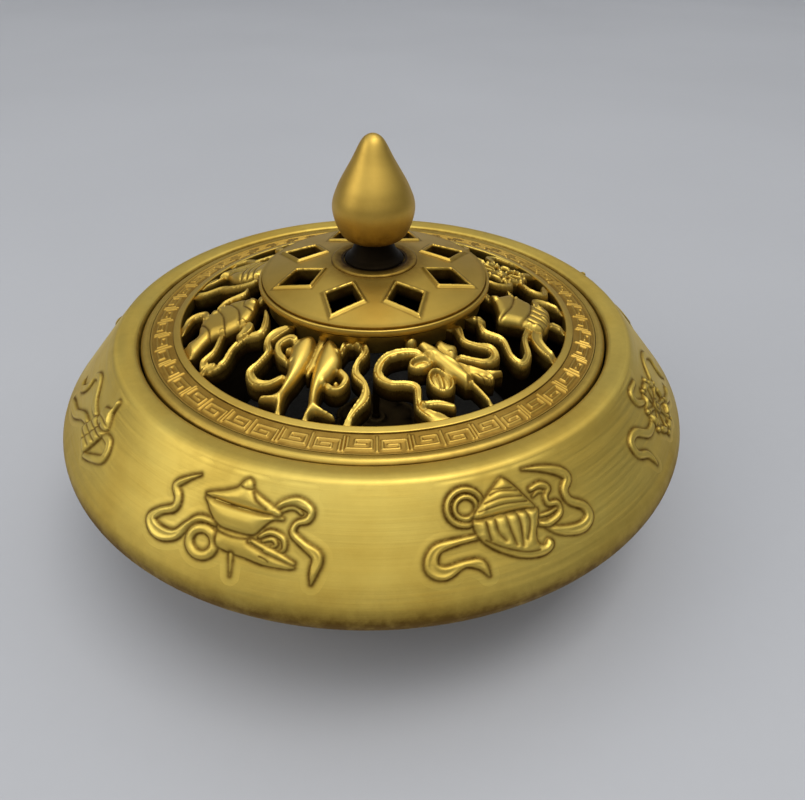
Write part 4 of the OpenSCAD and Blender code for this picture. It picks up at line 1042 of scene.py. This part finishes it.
def holder_piece():
    low, top, r = HOLDER_LOW[2], HOLDER_LOW[2] + 2.0, HOLDER_TOP[0]
    p = [[0.95, low, 0, 1], [r - 1, low, 0.4, 0.8], [r, low + 1, 0.6, 0.2],
         [r - 0.1, top - 0.2, 0.2, 0], [r - 0.6, top, 0.2, 0], [r - 1.5, top - 0.6, 0.4, 0.7],
         [4.6, top - 0.75, 0.4, 0.3], [2.4, top - 0.6, 0.3, 0.5],
         [1.8, HOLDER_TOP[2] - 0.05, 0.2, 0], [0.95, HOLDER_TOP[2] - 0.05, 0.1, 0.4]]

    def petals(a, rr, zz, dark):
        wave = np.abs(np.sin(a * 4)) ** 0.6
        edge = soft((rr - 4) / 4.5)
        return rr - edge * 0.7 * (1 - wave), zz, dark + edge * 0.5 * (1 - wave)
    return revolve("incense_holder_lotus", rounded(p), 240, wobble=petals)


def pin_piece():
    low, top, r = PIN_LOW[2], PIN_TOP[2], PIN_TOP[0]
    p = [[0, low, 0, 1], [r, low, 0, 1], [r, low + 2.8, 0.2, 0.6], [r - 0.15, low + 3.2, 0.3],
         [r - 0.2, top - 2.6, 0.4], [0.3, top - 0.3, 0.3], [0, top, 0]]
    return revolve("holder_pin_turned", rounded(p, closed=False), 48, False)


def stud_piece():
    low, top, r = STUD_LOW[2], STUD_TOP[2], STUD_TOP[0]
    pitch = 0.7
    thread_depth = 0.36
    z = np.linspace(low + 0.35, top - 0.3, 150)
    p = [[0, low, 0.3], [r - 0.5, low, 0.3]]
    p += [[r, v, 0] for v in z] + [[r - 0.5, top, 0.3], [0, top, 0.3]]

    def thread(a, rr, zz, dark):
        turn = zz / pitch - a / (2 * math.pi)
        groove = np.abs(2 * (turn - np.floor(turn + 0.5)))
        body = rr > r - 0.3
        return np.where(body, r - thread_depth * groove, rr), zz, np.where(body, groove, dark)
    return revolve("finial_stud_threaded", p, 64, False, thread, 70)


def washer_piece():
    low, top, r = WASHER_LOW[2], WASHER_TOP[2], WASHER_TOP[0]
    p = [[2.15, low, 0.1, 0.5], [r, low, 0.2], [r, top, 0.2], [2.15, top, 0.1, 0.5]]
    return revolve("finial_washer_pressed", rounded(p), 120)


def nut_piece():
    low, top, r = NUT_LOW[2], NUT_TOP[2], 4.05
    p = [[2.0, low + 0.4, 0.6], [2.4, low, 0.3], [3.5, low, 0], [3.75, low + 0.12, 0],
         [r, low + 0.5, 0], [r, top - 0.5, 0], [3.75, top - 0.12, 0], [3.5, top, 0],
         [2.4, top, 0.3], [2.0, top - 0.4, 0.6]]

    def flats(a, rr, zz, dark):
        sixth = math.pi / 3
        turn = (a + math.pi / 2) / sixth
        local = (turn - np.floor(turn) - 0.5) * sixth
        hexagon = r * math.cos(math.pi / 6) / np.cos(local)
        return np.minimum(rr, hexagon), zz, dark
    return revolve("finial_nut_hex", rounded(p, 0.1), 144, wobble=flats, sharp=25)


# ---- Materials ----

def node(tree, kind, **values):
    """A new node. A value that isn't one of its settings is for the input of that name."""
    n = tree.nodes.new(kind)
    for key, value in values.items():
        if hasattr(n, key):
            setattr(n, key, value)
        else:
            n.inputs[key.replace("_", " ")].default_value = value
    return n


def noise(tree, coords, scale, stretch=(1, 1, 1), detail=4.0, roughness=0.55):
    mapping = node(tree, "ShaderNodeMapping")
    mapping.inputs["Scale"].default_value = stretch
    tree.links.new(coords, mapping.inputs["Vector"])
    n = node(tree, "ShaderNodeTexNoise", Scale=scale, Detail=detail, Roughness=roughness)
    tree.links.new(mapping.outputs["Vector"], n.inputs["Vector"])
    return n.outputs["Fac"]


def maths(tree, kind, a, b=None, clamp=False):
    n = node(tree, "ShaderNodeMath", operation=kind)
    n.use_clamp = clamp
    for socket, value in zip(n.inputs, (a, b)):
        if value is None:
            continue
        if isinstance(value, (int, float)):
            socket.default_value = value
        else:
            tree.links.new(value, socket)
    return n.outputs[0]


def remap(tree, value, a0, a1, b0, b1):
    n = node(tree, "ShaderNodeMapRange")
    for key, v in zip(("From Min", "From Max", "To Min", "To Max"), (a0, a1, b0, b1)):
        n.inputs[key].default_value = v
    tree.links.new(value, n.inputs["Value"])
    return n.outputs["Result"]


def blend_colour(tree, fac, a, b):
    n = node(tree, "ShaderNodeMix", data_type="RGBA")
    tree.links.new(fac, n.inputs[0])
    for socket, value in ((n.inputs[6], a), (n.inputs[7], b)):
        if isinstance(value, tuple):
            socket.default_value = value + (1.0,)
        else:
            tree.links.new(value, socket)
    return n.outputs[2]


def start_material(name):
    m = bpy.data.materials.new(name)
    m.use_nodes = True
    tree = m.node_tree
    shader = tree.nodes["Principled BSDF"]
    coords = node(tree, "ShaderNodeTexCoord").outputs["Object"]
    return m, tree, shader, coords


def add_bump(tree, shader, height, strength, distance):
    bump = node(tree, "ShaderNodeBump", Strength=strength, Distance=distance)
    tree.links.new(height, bump.inputs["Height"])
    tree.links.new(bump.outputs["Normal"], shader.inputs["Normal"])


# Near black: the end colour of the darkest marks, painted shade on insides, undersides and
# hidden walls.
BLACK_SHADE = (0.012, 0.008, 0.004)


def metal(name, light, deep, patina_and_shade, rough=0.3, brush=0.4, ageing=0.0):
    """Cast or turned metal: light and deep are its own two tones, patina_and_shade the colour of
    its real patina and of painted shade on undersides and insides, ending in near black. brush
    is how strong the lines turned round it are and ageing how much patina lies everywhere."""
    m, tree, shader, coords = start_material(name)
    shader.inputs["Metallic"].default_value = 1.0
    cloud = noise(tree, coords, 55, detail=5)
    spots = noise(tree, coords, 420, detail=6, roughness=0.65)
    lines = noise(tree, coords, 900, (0.05, 0.05, 3.2), detail=5, roughness=0.6)
    bands = noise(tree, coords, 130, (0.12, 0.12, 2.5), detail=3)
    tone = remap(tree, cloud, 0.3, 0.7, 0, 1)
    tone = maths(tree, "ADD", tone, maths(tree, "MULTIPLY", maths(
        tree, "SUBTRACT", bands, 0.5), 0.9 * brush), True)
    own = blend_colour(tree, tone, light, deep)
    kept = node(tree, "ShaderNodeAttribute", attribute_name="patina_and_shade").outputs["Fac"]
    fine = remap(tree, spots, 0.25, 0.75, -0.25, 0.25)
    # Real patina and painted shade from the vertices, with random spots and mottle.
    grime_and_shade = maths(tree, "ADD", kept, maths(tree, "MULTIPLY", fine, maths(
        tree, "ADD", kept, 0.12)))
    grime_and_shade = maths(tree, "ADD", grime_and_shade, remap(tree, cloud, 0.45, 0.8, ageing, ageing + 0.12),
                 True)
    colour = blend_colour(tree, grime_and_shade, own, patina_and_shade)
    # The darkest marks turn near black: painted shade.
    colour = blend_colour(tree, remap(tree, kept, 0.88, 1.0, 0, 1), colour, BLACK_SHADE)
    tree.links.new(colour, shader.inputs["Base Color"])
    gloss = remap(tree, lines, 0.3, 0.7, rough - 0.05 * brush, rough + 0.12 * brush)
    gloss = maths(tree, "ADD", gloss, maths(tree, "MULTIPLY", grime_and_shade, 0.22))
    gloss = maths(tree, "ADD", gloss, remap(tree, cloud, 0.3, 0.7, -0.03, 0.04))
    tree.links.new(gloss, shader.inputs["Roughness"])
    relief = maths(tree, "MULTIPLY", lines, brush)
    relief = maths(tree, "ADD", relief, maths(tree, "MULTIPLY", spots, 0.35))
    relief = maths(tree, "ADD", relief, maths(tree, "MULTIPLY", cloud, 0.8))
    add_bump(tree, shader, relief, 0.35, 0.00006)
    return m


def felt(name):
    m, tree, shader, coords = start_material(name)
    fibres = noise(tree, coords, 1600, (1, 1, 2), detail=8, roughness=0.7)
    cloud = noise(tree, coords, 90, detail=4)
    rings = node(tree, "ShaderNodeTexWave", wave_type="RINGS", rings_direction="Z",
                 Scale=70, Distortion=6, Detail=3)
    tree.links.new(coords, rings.inputs["Vector"])
    tone = maths(tree, "MULTIPLY", fibres, maths(tree, "ADD", cloud, 0.5))
    # Near black: painted shade inside the closed bowl, with the felt's own fibre and ring
    # pattern.
    colour = blend_colour(tree, remap(tree, tone, 0.25, 0.75, 0, 1), (0.012, 0.011, 0.009),
                          (0.035, 0.032, 0.026))
    tree.links.new(colour, shader.inputs["Base Color"])
    shader.inputs["Roughness"].default_value = 0.95
    height = maths(tree, "ADD", fibres, maths(tree, "MULTIPLY", rings.outputs["Fac"], 0.1))
    add_bump(tree, shader, height, 0.8, 0.0003)
    return m


GOLD = (0.85, 0.635, 0.14)
GOLD_DEEP = (0.74, 0.51, 0.09)
BROWN = (0.18, 0.1, 0.016)

brass_side = metal("brass_brushed", GOLD, GOLD_DEEP, BROWN, 0.43, 0.9, 0.06)
brass_lid = metal("brass_lid", (0.84, 0.59, 0.12), (0.7, 0.45, 0.08), (0.1, 0.05, 0.008),
                  0.36, 0.3, 0.06)
brass_fret = metal("brass_fret", (0.72, 0.47, 0.1), (0.58, 0.36, 0.06), (0.25, 0.135, 0.02),
                   0.38, 0.2, 0.1)
brass_disc = metal("brass_disc", (0.76, 0.51, 0.1), (0.62, 0.39, 0.06), (0.13, 0.065, 0.01),
                   0.36, 0.25, 0.03)
brass_bud = metal("brass_bud", (0.78, 0.53, 0.11), (0.66, 0.42, 0.08), (0.16, 0.08, 0.01),
                  0.42, 0.3, 0.08)
brass_foot = metal("brass_foot", (0.5, 0.34, 0.09), (0.36, 0.23, 0.06), (0.07, 0.04, 0.01),
                   0.4, 0.5, 0.15)
brass_black = metal("brass_neck", (0.1, 0.07, 0.03), (0.05, 0.03, 0.012), BLACK_SHADE,
                    0.35, 0.3, 0.3)
# Near-black brass for the holder and pin: painted shade inside the closed bowl.
brass_inside_shade = metal("brass_inside_shade", (0.12, 0.08, 0.03), (0.07, 0.045, 0.02), (0.03, 0.02, 0.01),
                    0.5, 0.3)
steel = metal("steel_turned", (0.62, 0.61, 0.59), (0.45, 0.44, 0.42), (0.06, 0.055, 0.05),
              0.3, 0.5)
fibre = felt("mineral_felt")


# ---- Pieces on the frame ----

def fit(piece, body, material, slot, *nodes):
    piece.data.materials.append(material)
    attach(piece, body)
    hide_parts(*nodes)
    return piece


fit(bowl_piece(), "bowl_body", brass_side, "brass", "bowl")
fit(foot_piece(), "bowl_body", brass_foot, "brass_brown", "foot_ring")
for title, spot, drawing in RELIEFS:
    fit(relief_piece(title + "_cast", spot, drawing), "bowl_body", brass_side, "brass", title)
fit(mat_piece(), "bowl_body", fibre, "fibre", "heat_mat")
fit(holder_piece(), "bowl_body", brass_inside_shade, "brass", "incense_holder")
fit(pin_piece(), "bowl_body", brass_inside_shade, "brass", "holder_pin")

fit(lid_ring_piece(), "lid_body", brass_lid, "brass", "lid_ring")
fit(fret_piece(), "lid_body", brass_fret, "brass_brown", "fret_ring")
for title, spot, drawing in PIERCED:
    fit(pierced_piece(title + "_cast", spot, drawing), "lid_body", brass_lid, "brass", title)
fit(disc_piece(), "lid_body", brass_disc, "brass", "lid_disc")
fit(boss_piece(), "lid_body", brass_disc, "brass", "boss_ring")
fit(neck_piece(), "lid_body", brass_black, "brass_dark", "finial_neck")
fit(bud_piece(), "lid_body", brass_bud, "brass", "finial_bud")
fit(stud_piece(), "lid_body", steel, "steel", "finial_stud")
fit(washer_piece(), "lid_body", steel, "steel", "finial_washer")
fit(nut_piece(), "lid_body", steel, "steel", "finial_nut")


# ---- Floor, light and camera ----

def floor_piece():
    """A pale sheet that lies flat and curves up far behind the object."""
    profile = [(-3.0, 0.0), (0.0, 0.0), (1.0, 0.0)]
    profile += [(1.0 + 0.6 * math.sin(t), 0.6 - 0.6 * math.cos(t))
                for t in np.linspace(0.1, math.pi / 2, 14)]
    profile.append((1.6, 1.8))
    verts = [(x, y, z) for y, z in profile for x in (-3.0, 3.0)]
    faces = [(2 * k, 2 * k + 1, 2 * k + 3, 2 * k + 2) for k in range(len(profile) - 1)]
    mesh = bpy.data.meshes.new("floor_sheet")
    mesh.from_pydata(verts, [], faces)
    mesh.polygons.foreach_set("use_smooth", np.ones(len(faces), bool))
    obj = bpy.data.objects.new("floor_sheet", mesh)
    bpy.context.scene.collection.objects.link(obj)
    m, tree, shader, coords = start_material("floor_paint")
    grain = noise(tree, coords, 300, detail=5)
    cloud = noise(tree, coords, 4, detail=3)
    tone = maths(tree, "ADD", maths(tree, "MULTIPLY", grain, 0.15), cloud)
    colour = blend_colour(tree, remap(tree, tone, 0.3, 0.9, 0, 1), (0.44, 0.44, 0.45),
                          (0.49, 0.49, 0.5))
    tree.links.new(colour, shader.inputs["Base Color"])
    shader.inputs["Roughness"].default_value = 0.55
    mesh.materials.append(m)
    return obj


def softbox(name, place, aim, width, height, power, colour=(1, 1, 1)):
    light = bpy.data.lights.new(name, "AREA")
    light.shape = "RECTANGLE"
    light.size = width
    light.size_y = height
    light.energy = power
    light.color = colour
    obj = bpy.data.objects.new(name, light)
    obj.location = place
    obj.rotation_euler = (Vector(aim) - Vector(place)).to_track_quat("-Z", "Y").to_euler()
    bpy.context.scene.collection.objects.link(obj)


def studio():
    world = bpy.data.worlds.new("studio")
    bpy.context.scene.world = world
    world.use_nodes = True
    tree = world.node_tree
    back = tree.nodes["Background"]
    back.inputs["Color"].default_value = (0.9, 0.94, 1.0, 1)
    way = node(tree, "ShaderNodeSeparateXYZ")
    tree.links.new(node(tree, "ShaderNodeTexCoord").outputs["Generated"], way.inputs[0])
    height = remap(tree, way.outputs["Z"], 0.25, 0.75, 0.04, 1.0)
    side = remap(tree, way.outputs["X"], -0.8, 0.8, 1.05, 0.95)
    tree.links.new(maths(tree, "MULTIPLY", height, side), back.inputs["Strength"])
    softbox("top_box", (0.3, -0.3, 1.7), (0, 0, 0), 1.1, 0.7, 9.5, (1.0, 0.99, 0.97))
    softbox("window", (-0.95, -0.25, 0.62), (0, 0, 0.03), 0.6, 0.6, 2.2)
    softbox("front_wall", (-0.05, -0.95, 0.68), (0, 0, 0.03), 0.9, 0.6, 0.55)
    bpy.context.scene.view_settings.view_transform = "Standard"


def camera():
    cam = bpy.data.cameras.new("photo_view")
    cam.sensor_width = 36
    cam.lens = 31.304
    cam.clip_start = 0.005
    right = Vector((0.9992103, -0.0378418, 0.0121174))
    up = Vector((0.0125466, 0.5898405, 0.8074223))
    forward = Vector((0.0377017, 0.8066326, -0.5898495))
    m = Matrix((right, up, -forward)).transposed().to_4x4()
    m.translation = Vector((0.0, -0.119291, 0.107067))
    obj = bpy.data.objects.new("photo_view", cam)
    obj.matrix_world = m
    bpy.context.scene.collection.objects.link(obj)
    bpy.context.scene.camera = obj


floor_piece()
studio()
camera()
